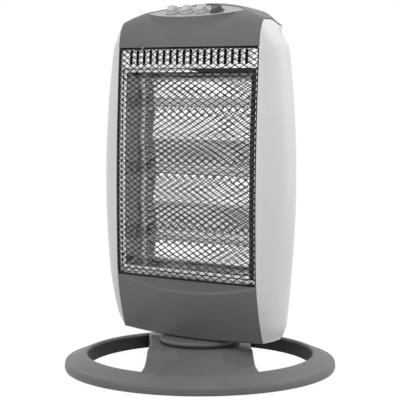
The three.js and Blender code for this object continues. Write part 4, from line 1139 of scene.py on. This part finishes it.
class NodeTree(Nodes):
    """A Geometry Nodes tree with short ways to add nodes and sums.

    Args:
        name: name of the tree.
    """

    def __init__(self, name: str) -> None:
        """Make an empty tree with a geometry output."""
        super().__init__(bpy.data.node_groups.new(name, "GeometryNodeTree"))
        for way in ("INPUT", "OUTPUT"):
            self.tree.interface.new_socket("Geometry", in_out=way, socket_type="NodeSocketGeometry")
        self.inputs = self.tree.nodes.new("NodeGroupInput")
        self.output = self.tree.nodes.new("NodeGroupOutput")
        self.values: dict[str, float | int | bpy.types.Material] = {}

    def value(self, name: str, amount: float) -> Socket:
        """A named number of the tree, given to the modifier later."""
        kind = "NodeSocketInt" if isinstance(amount, int) else "NodeSocketFloat"
        socket = self.tree.interface.new_socket(name, in_out="INPUT", socket_type=kind)
        socket.default_value = amount
        self.values[socket.identifier] = amount
        return self.inputs.outputs[name]

    def material(self, finish: Finish) -> Socket:
        """The tree's material input."""
        socket = self.tree.interface.new_socket("Finish", in_out="INPUT", socket_type="NodeSocketMaterial")
        self.values[socket.identifier] = Finishes.get(finish)
        return self.inputs.outputs["Finish"]

    def vector(self, x: object, y: object, z: object) -> Socket:
        """Vector from three numbers."""
        return self.out("ShaderNodeCombineXYZ", X=x, Y=y, Z=z)

    def out(self, kind: str, settings: dict[str, object] | None = None, **links: object) -> Socket:
        """First output of a new node."""
        return self.node(kind, settings, **links).outputs[0]

    def finish(self, geometry: Socket, finish: Finish) -> None:
        """End the tree: turn to the head, realise, set the material."""
        turn = self.vector(0.0, 0.0, self.value("Turn", HEAD.yaw))
        turned = self.out("GeometryNodeTransform", Geometry=geometry, Rotation=turn)
        real = self.out("GeometryNodeRealizeInstances", Geometry=turned)
        painted = self.out("GeometryNodeSetMaterial", Geometry=real, Material=self.material(finish))
        self.feed(self.output.inputs[0], painted)

    def build(self, name: str, angle: float) -> Piece:
        """Run the tree and keep its result as a plain mesh object."""
        made = put(name, bpy.data.meshes.new(name))
        mod = made.modifiers.new("Nodes", "NODES")
        mod.node_group = self.tree
        for key, val in self.values.items():
            mod[key] = val
        return settle(made, angle)


# ----------------------------------------------------------------- guard and pan

@dataclass(frozen=True)
class GuardMesh:
    """Wire guard: two leaning families of wires over the bowed front, in a rim."""

    pitch_x: float = 13.0
    pitch_z: float = 7.43
    phase_right: float = 0.5
    phase_left: float = 0.5
    wire_r: float = 0.6
    layer: float = 0.35
    inset: float = 1.0
    margin: float = 1.6
    corner: float = 2.5
    rim_r: float = 0.9
    splits: int = 5

    @property
    def box(self) -> Point:
        """Half width, low edge and high edge of the wires."""
        return HEAD.cover_x - 1.0, HEAD.guard_z[0] + self.margin, HEAD.guard_z[1] - self.margin

    def family(self, tree: NodeTree, size: dict[str, Socket], lean: float, phase: Socket) -> Socket:
        """Wires that lean one way, from edge to edge of the opening.

        Args:
            tree: the guard's tree.
            size: its named sizes.
            lean: 1 to lean right, in the front layer; -1 to lean left, in the rear one.
            phase: share of a pitch by which the wires are shifted.

        Returns:
            The wires as one geometry.
        """
        m, half, low, high = tree.math, size["half"], size["low"], size["high"]
        slope = m("DIVIDE", size["pitch_z"], size["pitch_x"])
        run = m("DIVIDE", m("SUBTRACT", high, low), slope)
        count = m("CEIL", m("DIVIDE", m("ADD", m("MULTIPLY", half, 2.0), run), size["pitch_x"]))
        points = tree.out("GeometryNodePoints", Count=m("ADD", count, 1.0))
        index = tree.out("GeometryNodeInputIndex")
        start = m("SUBTRACT", m("MULTIPLY", m("ADD", index, phase), size["pitch_x"]), m("ADD", half, run))
        before = m("SUBTRACT", m("MULTIPLY", half, -1.0), start)
        first = m("MAXIMUM", low, m("ADD", low, m("MULTIPLY", before, slope)))
        last = m("MINIMUM", high, m("ADD", low, m("MULTIPLY", m("SUBTRACT", half, start), slope)))
        x0 = m("ADD", start, m("DIVIDE", m("SUBTRACT", first, low), slope))
        rise = m("SUBTRACT", last, first)
        reach = tree.vector(m("MULTIPLY", m("DIVIDE", rise, slope), lean), 0.0, rise)
        foot = tree.vector(m("MULTIPLY", x0, lean), 0.0, first)
        vectors = {"data_type": "FLOAT_VECTOR"}
        kept = tree.out("GeometryNodeStoreNamedAttribute", vectors, Geometry=points, Name="reach",
                        Value=reach)
        placed = tree.out("GeometryNodeSetPosition", Geometry=kept, Position=foot)
        named = tree.out("GeometryNodeInputNamedAttribute", vectors, Name="reach")
        length = tree.node("ShaderNodeSeparateXYZ", Vector=named).outputs[2]
        # A wire shorter than a millimetre, at a corner, is left out.
        short = tree.out("FunctionNodeCompare", {"operation": "LESS_THAN"}, A=length, B=1.0 * MM)
        clean = tree.out("GeometryNodeDeleteGeometry", Geometry=placed, Selection=short)
        verts = tree.out("GeometryNodePointsToVertices", Points=clean)
        wires = tree.out("GeometryNodeExtrudeMesh", {"mode": "VERTICES"}, Mesh=verts, Offset=named,
                         Offset_Scale=1.0)
        fine = tree.out("GeometryNodeSubdivideMesh", Mesh=wires, Level=size["splits"])
        place = tree.node("ShaderNodeSeparateXYZ", Vector=tree.out("GeometryNodeInputPosition"))
        x, z = place.outputs[0], place.outputs[2]
        plan = m("DIVIDE", m("MULTIPLY", x, x), m("MULTIPLY", size["plan_r"], 2.0))
        up = m("SUBTRACT", z, size["bow_z"])
        side = m("DIVIDE", m("MULTIPLY", up, up), m("MULTIPLY", size["side_r"], 2.0))
        y = m("SUBTRACT", m("ADD", size["front"], m("ADD", plan, side)), m("MULTIPLY", size["layer"], lean))
        bowed = tree.out("GeometryNodeSetPosition", Geometry=fine, Position=tree.vector(x, y, z))
        lines = tree.out("GeometryNodeMeshToCurve", Mesh=bowed)
        ring = tree.out("GeometryNodeCurvePrimitiveCircle", Resolution=6, Radius=size["wire_r"])
        return tree.out("GeometryNodeCurveToMesh", Curve=lines, Profile_Curve=ring, Fill_Caps=True)

    def rim(self) -> Skin:
        """Closed rod round the edge of the wires."""
        half, low, high = self.box
        r = self.corner
        centres = ((half - r, high - r, 0), (-half + r, high - r, 90), (-half + r, low + r, 180),
                   (half - r, low + r, 270))
        turns = [[(x + r * cos(radians(a0 + a)), z + r * sin(radians(a0 + a)))
                  for a in steps(0, 90, 4)] for x, z, a0 in centres]
        path = []
        for i, turn in enumerate(turns):
            (x0, z0), (x1, z1) = turn[-1], turns[(i + 1) % 4][0]
            path += turn + [(lerp(x0, x1, t), lerp(z0, z1, t)) for t in steps(0, 1, 24)[1:-1]]
        return tube([(x, HEAD.front_y(x, z) + self.inset + 0.2, z) for x, z in path], self.rim_r, 8)

    def build(self) -> list[Piece]:
        """The guard's wires and rim."""
        tree = NodeTree("GuardWires")
        half, low, high = self.box
        size = {key: tree.value(name, val * MM) for key, name, val in (
            ("half", "Half Width", half), ("low", "Low Edge", low), ("high", "High Edge", high),
            ("pitch_x", "Pitch Across", self.pitch_x), ("pitch_z", "Pitch Up", self.pitch_z),
            ("front", "Front", HEAD.front + self.inset), ("bow_z", "Bow Middle", HEAD.bow_z),
            ("plan_r", "Plan Radius", HEAD.plan_r), ("side_r", "Side Radius", HEAD.side_r),
            ("layer", "Layer", self.layer), ("wire_r", "Wire Radius", self.wire_r))}
        size["splits"] = tree.value("Splits", self.splits)
        both = tree.node("GeometryNodeJoinGeometry")
        for name, lean, phase in (("Right", 1.0, self.phase_right), ("Left", -1.0, self.phase_left)):
            tree.feed(both.inputs[0], self.family(tree, size, lean, tree.value(f"Phase {name}", phase)))
        tree.finish(both.outputs[0], Finish.WIRE)
        wires = tree.build("guard_wires", 70)
        rim = shade(self.rim().object("guard_rim", Finish.WIRE), 60)
        return [dress(obj, "head", "guard_wire", "guard") for obj in (wires, rim)]


def tube(path: Sequence[Point], r: float, sides: int) -> Skin:
    """Round tube along a closed path.

    Args:
        path: points of its middle line.
        r: its radius.
        sides: points round it.

    Returns:
        The skin.
    """
    pts = [Vector(p) for p in path]
    side = None
    rows = []
    for before, p, after in zip([pts[-1], *pts], pts, [*pts[1:], pts[0]]):
        along = (after - before).normalized()
        side = along.orthogonal() if side is None else side - along * side.dot(along)
        side.normalize()
        up = along.cross(side)
        rows.append([tuple(p + r * (side * cos(a) + up * sin(a))) for a in around(sides)])
    return Skin().sheet(rows + [rows[0]], closed=True)


@dataclass(frozen=True)
class Reflector:
    """Bright pan: a flange with a row of slots, and a mouth with three soft troughs."""

    mouth_x: float = 104.0
    mouth: Pair = (130.0, 397.0)
    troughs: int = 3
    ridge: float = 24.5
    deep: float = 27.5
    corner: float = 9.0
    thick: float = 1.0
    lamp_deep: float = 13.5
    slots: int = 18
    slot_pitch: float = 10.85
    slot_w: float = 4.4
    slot_h: float = 20.0
    slot_z: float = 412.0
    rivet_x: float = 101.8
    rivet_zs: Pair = (149.0, 384.0)
    rivet_r: float = 1.9
    lip: tuple[float, float, float, float] = (5.0, 0.0, 4.5, 4.5)
    # Widths and reach of the black line round the mouth, a strip of painted shade.
    trim: tuple[float, float, float] = (1.2, 6.5, 1.3)
    trim_out: float = 4.0
    step_x: Pair = (2.0, 20.0)
    step_deep: float = 4.6

    @property
    def flange_y(self) -> float:
        """Front of the flange at the guard's top corners."""
        return self.flange_at(HEAD.guard_z[1] - HEAD.seam)

    def flange_at(self, z: float) -> float:
        """Front of the flange at a height, where it follows the guard's edge."""
        return HEAD.front_y(HEAD.cover_x, z) + 2.0

    @property
    def lamp_y(self) -> float:
        """Axis of the lamps."""
        return self.flange_y + self.lamp_deep

    def lamp_zs(self) -> list[float]:
        """Heights of the lamps."""
        low, high = self.mouth
        return [lerp(low, high, (i + 0.5) / self.troughs) for i in range(self.troughs)]

    def frame(self, left: float, right: float, low: float, high: float) -> list[Pair]:
        """Rectangle with points up its sides, so that it can bend with the flange."""
        zs = steps(low, high, 30)
        return [(left, z) for z in zs] + [(right, z) for z in reversed(zs)]

    @property
    def pan_box(self) -> tuple[float, float, float, float]:
        """Left, right, low and high edge of the pan inside the flange's lip."""
        left, right, low, high = self.lip
        return -self.mouth_x + left, self.mouth_x - right, self.mouth[0] + low, self.mouth[1] - high

    def depth(self, x: float, z: float) -> float:
        """Depth of the pan behind the flange."""
        left, right, low, high = self.pan_box
        share = (z - low) / (high - low) * self.troughs
        t = share - math.floor(min(share, self.troughs - 1e-6))
        full = lerp(self.deep, self.ridge, smooth(abs(2 * t - 1)) * 0.5 + (2 * t - 1) ** 2 * 0.5)
        near_x = clamp01(min(x - left, right - x) / self.corner)
        near_z = clamp01(min(z - low, high - z) / self.corner)
        round_x, round_z = (sqrt(1 - (1 - q) ** 2) for q in (near_x, near_z))
        return full * round_x * round_z

    def pan(self) -> Skin:
        """The pressed pan behind the mouth."""
        left, right, low, high = self.pan_box
        c = self.corner
        near = [c * (1 - cos(a)) for a in arc(0, 1, 10)]
        xs, zs = ([a + d for d in near] + steps(a + c, b - c, n)[1:-1] + [b - d for d in reversed(near)]
                  for a, b, n in ((left, right, 20), (low, high, 96)))
        back = self.flange_y + self.deep
        return Skin().sheet([[(x, lerp(self.flange_at(z), back, self.depth(x, z) / self.deep), z) for z in zs]
                             for x in xs])

    def on(self, p: Point) -> Point:
        """Where a point (x, z, depth behind the flange's front) goes in the frame."""
        return HEAD.place((p[0], self.flange_at(p[1]) + p[2], p[1]))

    def build(self) -> list[Piece]:
        """Flange, pan and rivets."""
        edge_x, (low, high) = HEAD.cover_x - 0.5, HEAD.guard_z
        outer = self.frame(-edge_x, edge_x, low + 0.8, high - 0.8)
        xs = [self.slot_pitch * (i - (self.slots - 1) / 2) for i in range(self.slots)]
        slots = [slot_loop(x, self.slot_z, self.slot_w, self.slot_h) for x in xs]
        loops = [outer, self.frame(*self.pan_box)] + slots
        flange = outline_plate("reflector_flange", loops, 0.0, self.thick, self.on, Finish.BRIGHT)
        settle(rounded(flange, 0.25, 2, 60), 30)
        pan = self.pan().object("reflector_pan", Finish.TROUGH)
        face_towards(pan, HEAD.place((0, self.flange_y, 263)), -1)
        shade(pan, 60)
        made = [dress(obj, "head", "reflector", "reflector") for obj in (flange, pan)]
        return made + [self.hem(), self.rivets()]

    def hem(self) -> Piece:
        """Black line round the mouth, a wide strip down its right side and a deeper band along the right of
        its top: painted shade of the mouth's edges.
        """
        left, right, level = self.trim
        low, high = self.mouth
        x = self.mouth_x
        outer = self.frame(-x - left / 2, x + self.trim_out, low - level / 2, high + level / 2)
        edges = self.frame(-x + left / 2, x + self.trim_out - right, low + level / 2, high - level / 2)
        (x0, x1), deep = self.step_x, self.step_deep
        half = len(edges) // 2
        inner = edges[:half] + [(x0, edges[half][1]), (x1, high - deep)]
        inner += [(px, min(pz, high - deep)) for px, pz in edges[half:]]
        hem = outline_plate("mouth_hem", [outer, inner], -0.5, -0.02, self.on, Finish.BLACK)
        return dress(settle(hem, 30), "head", "black_plastic")

    def rivets(self) -> Piece:
        """Domed rivets that hold the pan to the chassis, placed by Geometry Nodes."""
        tree = NodeTree("Rivets")
        radius = tree.value("Head Radius", self.rivet_r * MM)
        deep_low, deep_high = (tree.value(f"{name} Row Depth", (self.flange_at(z) - 0.5) * MM)
                               for name, z in zip(("Low", "High"), self.rivet_zs))
        columns = tree.value("Half Width", self.rivet_x * MM)
        low, high = (tree.value(f"{name} Row", z * MM) for name, z in zip(("Low", "High"), self.rivet_zs))
        m = tree.math
        points = tree.out("GeometryNodePoints", Count=4)
        index = tree.out("GeometryNodeInputIndex")
        side = m("SUBTRACT", m("MULTIPLY", m("MODULO", index, 2.0), 2.0), 1.0)
        row = m("FLOOR", m("DIVIDE", index, 2.0))
        z = m("ADD", low, m("MULTIPLY", row, m("SUBTRACT", high, low)))
        depth = m("ADD", deep_low, m("MULTIPLY", row, m("SUBTRACT", deep_high, deep_low)))
        at = tree.vector(m("MULTIPLY", side, columns), depth, z)
        placed = tree.out("GeometryNodeSetPosition", Geometry=points, Position=at)
        ball = tree.out("GeometryNodeMeshUVSphere", Segments=20, Rings=12, Radius=radius)
        flat = tree.out("GeometryNodeTransform", Geometry=ball, Scale=(1.0, 0.55, 1.0))
        tree.finish(tree.out("GeometryNodeInstanceOnPoints", Points=placed, Instance=flat), Finish.BLACK)
        return dress(tree.build("pan_rivets", 60), "head", "black_plastic")


@dataclass(frozen=True)
class Lamps:
    """Quartz tubes with coiled filaments, between ribbed ceramic caps."""

    tube_r: float = 5.0
    tube_wall: float = 1.0
    tube_end: float = 102.0
    cap_x: float = 94.0
    cap_len: float = 14.0
    cap_r: float = 6.5
    coil_r: float = 0.85
    coil_wire: float = 0.16
    coil_turns: float = 90.0
    coil_end: float = 96.0

    def on_axis(self, z: float) -> Callable[[Point], Point]:
        """Where a point turned about Z goes when its axis is laid along a lamp."""
        y0 = PAN.lamp_y
        return lambda p: (p[2], y0 + p[0], z + p[1])

    def coil(self, z: float, name: str) -> Piece:
        """One coiled filament by Geometry Nodes."""
        tree = NodeTree(f"Coil {name}")
        half = tree.value("Half Length", self.coil_end * MM)
        radius = tree.value("Coil Radius", self.coil_r * MM)
        wire = tree.value("Wire Radius", self.coil_wire * MM)
        turns = tree.value("Turns", self.coil_turns)
        height, depth = tree.value("Height", z * MM), tree.value("Depth", PAN.lamp_y * MM)
        spiral = tree.out("GeometryNodeCurveSpiral", Resolution=10, Rotations=turns, Start_Radius=radius,
                          End_Radius=radius, Height=tree.math("MULTIPLY", half, 2.0))
        laid = tree.out("GeometryNodeTransform", Geometry=spiral, Rotation=(0.0, pi / 2, 0.0))
        start = tree.vector(tree.math("MULTIPLY", half, -1.0), depth, height)
        moved = tree.out("GeometryNodeTransform", Geometry=laid, Translation=start)
        ring = tree.out("GeometryNodeCurvePrimitiveCircle", Resolution=4, Radius=wire)
        body = tree.out("GeometryNodeCurveToMesh", Curve=moved, Profile_Curve=ring, Fill_Caps=True)
        tree.finish(body, Finish.TUNGSTEN)
        return tree.build(name, 80)

    def cap_profile(self) -> list[Pair]:
        """Ribbed ceramic cap from its mouth to its closed end, outwards from 0."""
        r, n = self.cap_r, self.cap_len
        bore = self.tube_r + 0.35
        ribs = []
        for k in range(3):
            z = 1.4 + 3.4 * k
            ribs += [(r, z), (r, z + 1.9), (r - 0.55, z + 2.3), (r - 0.55, z + 2.9)]
        mouth = [(0.0, 8.2), (bore, 8.2), (bore, 0.4), (bore + 0.3, 0.0), (r - 0.4, 0.0), (r, 0.5)]
        return mouth + ribs + [(r, n - 2.2), (r, n - 0.6), (r - 0.6, n), (0.0, n)]

    def build(self) -> list[Piece]:
        """All three lamps."""
        made = []
        r, inner, end = self.tube_r, self.tube_r - self.tube_wall, self.tube_end
        glass = [(inner, -end), (r, -end)] + [(r, x) for x in steps(-end, end, 24)[1:]]
        glass += [(inner, end), (inner, -end)]
        for n, z in enumerate(PAN.lamp_zs(), 1):
            at = self.on_axis(z)
            quartz = shade(Skin().turned(glass, 40, at).object(f"quartz_{n}", Finish.QUARTZ))
            made += [dress(quartz, "head", "quartz", f"lamp_tube_{n}"),
                     dress(self.coil(z, f"coil_{n}"), "head", "filament", f"lamp_filament_{n}")]
            for name, side in SIDES:
                profile = [(q, side * (self.cap_x + d)) for q, d in self.cap_profile()]
                cap = shade(Skin().turned(profile, 40, at).object(f"cap_{name}_{n}", Finish.CERAMIC), 35)
                made.append(dress(cap, "head", "ceramic", f"lamp_cap_{name}_{n}"))
        return made


PAN = Reflector()


# ------------------------------------------------------------------------- back

@dataclass(frozen=True)
class Opening:
    """Hole with round corners in the rear cover: a core rectangle grown by a radius."""

    x: float
    z: float
    half_x: float
    half_z: float
    r: float
    block_x: float
    block_z: float
    floor_y: float | None = None

    def edge(self, x: float, z: float) -> Pair:
        """Nearest point of the hole's edge."""
        ax = self.x + max(-self.half_x, min(self.half_x, x - self.x))
        az = self.z + max(-self.half_z, min(self.half_z, z - self.z))
        far = hypot(x - ax, z - az) or 1.0
        return ax + self.r * (x - ax) / far, az + self.r * (z - az) / far


@dataclass(frozen=True)
class RearCover:
    """Domed back with rows of vents, a grip pocket and four screw wells."""

    wall: float = 2.4
    vents: int = 9
    vent_w: float = 4.0
    vent_h: float = 34.0
    vent_pitch: float = 14.0
    vent_zs: Pair = (352.0, 300.0)
    grip: Point = (92.0, 17.0, 26.0)
    grip_z: float = 425.0
    screw_x: float = 84.0
    screw_zs: Pair = (150.0, 392.0)
    well_y: float = 11.94
    gland_z: float = 88.0
    gland_r: float = 7.5

    def surface(self, x: float, z: float) -> float:
        """Outside of the cover."""
        low, high = self.ends(x)
        u, v = abs(x) / HEAD.cover_x, (z - low) / (high - low)
        seam = lerp(HEAD.rear_y, UpperCover.back, smooth((v - 0.85) / 0.1)) + HEAD.seam
        dome_x = sqrt(max(0.0, 1 - min(1.0, u) ** 6))
        dome_z = sqrt(max(0.0, 1 - min(1.0, abs(2 * v - 1)) ** 10))
        return seam + HEAD.rear_depth * dome_x * dome_z

    def ends(self, x: float) -> Pair:
        """Lowest and highest point at x."""
        return HEAD.bottom_z(x), min(HEAD.crown_z(x), HEAD.crown - 0.2)

    def openings(self) -> list[Opening]:
        """Every opening of the cover."""
        end, r = self.vent_h / 2, self.vent_w / 2
        pitch = self.vent_pitch
        made = [Opening((i - (self.vents - 1) / 2) * pitch, z, 0.0, end - r, r, pitch / 2, end + 5)
                for z in self.vent_zs for i in range(self.vents)]
        wide, deep, high = self.grip
        made.append(Opening(0, self.grip_z, wide / 2 - 3, high / 2 - 3, 3.0, wide / 2 + 3, high / 2 + 3,
                            self.surface(0, self.grip_z) - deep))
        made += [Opening(s * self.screw_x, z, 0, 0, 3.95, 9, 9, self.well_y)
                 for z in self.screw_zs for s in (-1, 1)]
        made.append(Opening(0, self.gland_z, 0, 0, self.gland_r + 0.3, 13, 13))
        return made

    def lines(self, ends: Pair, count: int, blocks: Iterable[float]) -> list[float]:
        """Grid lines between two ends, with a line on each side of every opening's block."""
        fixed = sorted({round(b, 3) for b in blocks} | {ends[0], ends[1]})
        return sorted(fixed + [q for q in steps(*ends, count)[1:-1] if all(abs(q - f) > 1.2 for f in fixed)])

    def point(self, x: float, z: float) -> Point:
        """Point of the cover over x and z."""
        return x, self.surface(x, z), z

    def skin(self) -> Skin:
        """The cover's outside, with the openings let into it."""
        holes = self.openings()
        inner_x, low, high = 93.0, self.gland_z - 13.0, self.grip_z + self.grip[2] / 2 + 3
        middle = self.lines((-inner_x, inner_x), 44, [o.x + s * o.block_x for o in holes for s in (-1, 1)])
        side = [HEAD.cover_x - (HEAD.cover_x - inner_x) * (1 - sin(a)) for a in arc(0, 1, 16)[1:]]
        xs = [-x for x in reversed(side)] + middle + side
        levels = self.lines((low, high), 96, [o.z + s * o.block_z for o in holes for s in (-1, 1)])
        foot = [1 - cos(a) for a in arc(0, 1, 14)[:-1]]
        columns = []
        for x in xs:
            bottom, top = self.ends(x)
            zs = [lerp(bottom, low, t) for t in foot] + levels + [lerp(top, high, t) for t in reversed(foot)]
            columns.append([self.point(x, z) for z in zs])
        blocks = []
        for o in holes:
            cols = [i for i, x in enumerate(xs) if abs(x - o.x) < o.block_x + 0.01]
            rows = [j for j, p in enumerate(columns[cols[0]]) if abs(p[2] - o.z) < o.block_z + 0.01]
            blocks.append((cols[0], cols[-1], rows[0], rows[-1]))

        def keep(i: int, j: int) -> bool:
            """Whether a cell lies outside every opening's block."""
            return not any(a <= i < b and c <= j < d for a, b, c, d in blocks)

        skin = Skin().sheet(columns, keep=keep)
        for o, (a, b, c, d) in zip(holes, blocks):
            loop = [columns[i][c] for i in range(a, b)] + [columns[b][j] for j in range(c, d)] \
                + [columns[i][d] for i in range(b, a, -1)] + [columns[a][j] for j in range(d, c, -1)]
            self.let_in(skin, o, [(p[0], p[2]) for p in loop])
        return skin

    def let_in(self, skin: Skin, hole: Opening, loop: Sequence[Pair]) -> None:
        """Fill a block round a hole, and add the walls and floor of a deep one.

        Args:
            skin: the cover's skin.
            hole: the hole.
            loop: the block's edge as (x, z).
        """
        edges = [hole.edge(x, z) for x, z in loop]
        rings = [[self.point(lerp(x, ex, t), lerp(z, ez, t)) for (x, z), (ex, ez) in zip(loop, edges)]
                 for t in (0.0, 0.5, 0.85, 1.0)]
        if hole.floor_y is not None:
            rings += [[(ex, lerp(self.surface(ex, ez), hole.floor_y, t), ez) for ex, ez in edges]
                      for t in (0.1, 0.5, 1.0)]
        skin.sheet(rings, closed=True)
        if hole.floor_y is not None:
            n = len(loop)
            skin.faces.append(tuple(range(len(skin.points) - n, len(skin.points))))

    def build(self) -> list[Piece]:
        """The rear cover."""
        cover = walled(self.skin().object("rear_moulding", Finish.GREY), (0, 0, 270), self.wall)
        return [dress(cover, "head", "grey_plastic", "rear_cover")]


# ------------------------------------------------------- nodes kept from the CAD

def numbered(name: str) -> list[str]:
    """Names of four nodes of a kind."""
    return [f"{name}_{n}" for n in range(1, 5)]


class KeptNodes:
    """CAD nodes that show as they are, each with its own finish."""

    finishes = {
        Finish.RUBBER: (*numbered("foot"), "cord_gland"),
        Finish.STEEL: ("base_plate", *numbered("base_screw"), "spindle", "anchor_arm", "inner_frame",
                       "swing_motor", "drive_link", *numbered("rear_screw")),
        Finish.BLUED: ("chassis", "lamp_holder_left", "lamp_holder_right"),
        Finish.WHITE: ("bearing_washer", "terminal_block"),
        Finish.DARK: ("drive_crank",),
        Finish.BLACK: ("tip_switch_bracket",),
        Finish.BRASS: ("tip_pendulum",),
    }

    def build(self) -> list[Piece]:
        """Paint the nodes."""
        made = []
        for finish, names in self.finishes.items():
            for name in names:
                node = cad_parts[name]
                for slot in node.material_slots:
                    slot.link = "OBJECT"
                    slot.material = Finishes.get(finish)
                made.append(node)
        return made


# ----------------------------------------------------------------------- studio

@dataclass(frozen=True)
class Studio:
    """White set: camera, floor, world and lights."""

    camera_at: Point = (0.0, -1.819, 0.381)
    camera_pitch: float = radians(85.076)
    lens: float = 124.2
    floor: float = 6.0
    floor_shade: float = 0.5
    floor_glow: float = 1.08
    floor_share: float = 0.9
    ambient: float = 0.45

    def camera(self) -> None:
        """Place the camera."""
        data = bpy.data.cameras.new("Camera")
        data.lens = self.lens
        data.sensor_width = 36
        data.clip_start, data.clip_end = 0.05, 50
        cam = put("Camera", data)
        cam.location = self.camera_at
        cam.rotation_euler = (self.camera_pitch, 0, 0)
        bpy.context.scene.camera = cam

    def seen(self, nodes: Nodes) -> Socket:
        """1 for rays that show the set: from the camera, off metal and through glass."""
        rays = nodes.node("ShaderNodeLightPath").outputs
        shiny = nodes.math("MAXIMUM", rays["Is Camera Ray"], rays["Is Glossy Ray"])
        return nodes.math("MAXIMUM", shiny, rays["Is Transmission Ray"])

    def either(self, nodes: Nodes, share: object, low: object, high: object) -> Socket:
        """Mix of two shaders."""
        mix = nodes.node("ShaderNodeMixShader")
        for socket, val in zip(mix.inputs, (share, low, high)):
            nodes.feed(socket, val)
        return mix.outputs[0]

    def world(self) -> None:
        """White to the camera and to reflections, softer as light."""
        world = bpy.data.worlds.new("Studio")
        bpy.context.scene.world = world
        world.use_nodes = True
        world.node_tree.nodes.clear()
        nodes = Nodes(world.node_tree)
        light, white = (nodes.node("ShaderNodeBackground", Color=(1, 1, 1, 1), Strength=strength).outputs[0]
                        for strength in (self.ambient, 1.0))
        nodes.node("ShaderNodeOutputWorld", Surface=self.either(nodes, self.seen(nodes), light, white))

    def ground(self) -> None:
        """Pale floor, bright to the camera, with a faint contact shadow."""
        s = self.floor / 2
        mesh = bpy.data.meshes.new("floor")
        mesh.from_pydata([(-s, -s, 0), (s, -s, 0), (s, s, 0), (-s, s, 0)], [], [(0, 1, 2, 3)])
        paint = Paint("Floor")
        grey = self.floor_shade
        mesh.materials.append(paint.end(Base_Color=(grey, grey, grey, 1), Roughness=0.9))
        glow = paint.node("ShaderNodeEmission", Strength=self.floor_glow).outputs[0]
        share = paint.math("MULTIPLY", self.seen(paint), self.floor_share)
        mixed = self.either(paint, share, paint.shader.outputs[0], glow)
        paint.feed(paint.tree.nodes["Material Output"].inputs[0], mixed)
        put("floor", mesh)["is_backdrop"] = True

    def light(self, name: str, at: Point, aim: Point, size: tuple[float, float], power: float) -> None:
        """Add an area light.

        Args:
            name: its name.
            at: its place in metres.
            aim: what it points at.
            size: its width and height.
            power: in watts.
        """
        data = bpy.data.lights.new(name, "AREA")
        data.shape = "RECTANGLE"
        data.size, data.size_y = size
        data.energy = power
        lamp = put(name, data)
        lamp.location = at
        lamp.rotation_euler = (Vector(aim) - Vector(at)).to_track_quat("-Z", "Y").to_euler()
        lamp.visible_camera = False

    def build(self) -> None:
        """The whole set."""
        self.camera()
        self.world()
        self.ground()
        self.light("top", (0.0, -0.3, 1.7), (0, 0, 0.3), (1.75, 1.75), 10.0)
        self.light("right", (1.6, -0.4, 0.7), (0, 0, 0.25), (1.6, 2.2), 12.0)
        self.light("left", (-1.4, -0.9, 0.8), (0, 0, 0.25), (1.2, 1.8), 6.0)
        bpy.context.scene.view_settings.view_transform = "Standard"


def save_size(size: dict[str, list[list[float]]], key: str) -> None:
    """Note the object's bounds under a key."""
    size[key] = [list(corner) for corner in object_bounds()]


def main() -> None:
    """Build the set and every piece, in order, and report each."""
    logging.basicConfig(level=logging.INFO, format="%(name)s: %(message)s")
    size: dict[str, list[list[float]]] = {}
    save_size(size, "cad")
    Studio().build()
    for maker in (StandParts(), Shells(), LowerCover(), UpperCover(), ControlPanel(), Reflector(), Lamps(),
                  GuardMesh(), RearCover(), KeptNodes()):
        made = maker.build()
        LOG.info("%s: %s", type(maker).__name__, ", ".join(obj.name for obj in made))
    save_size(size, "visual")


if __name__ == "__main__":
    main()
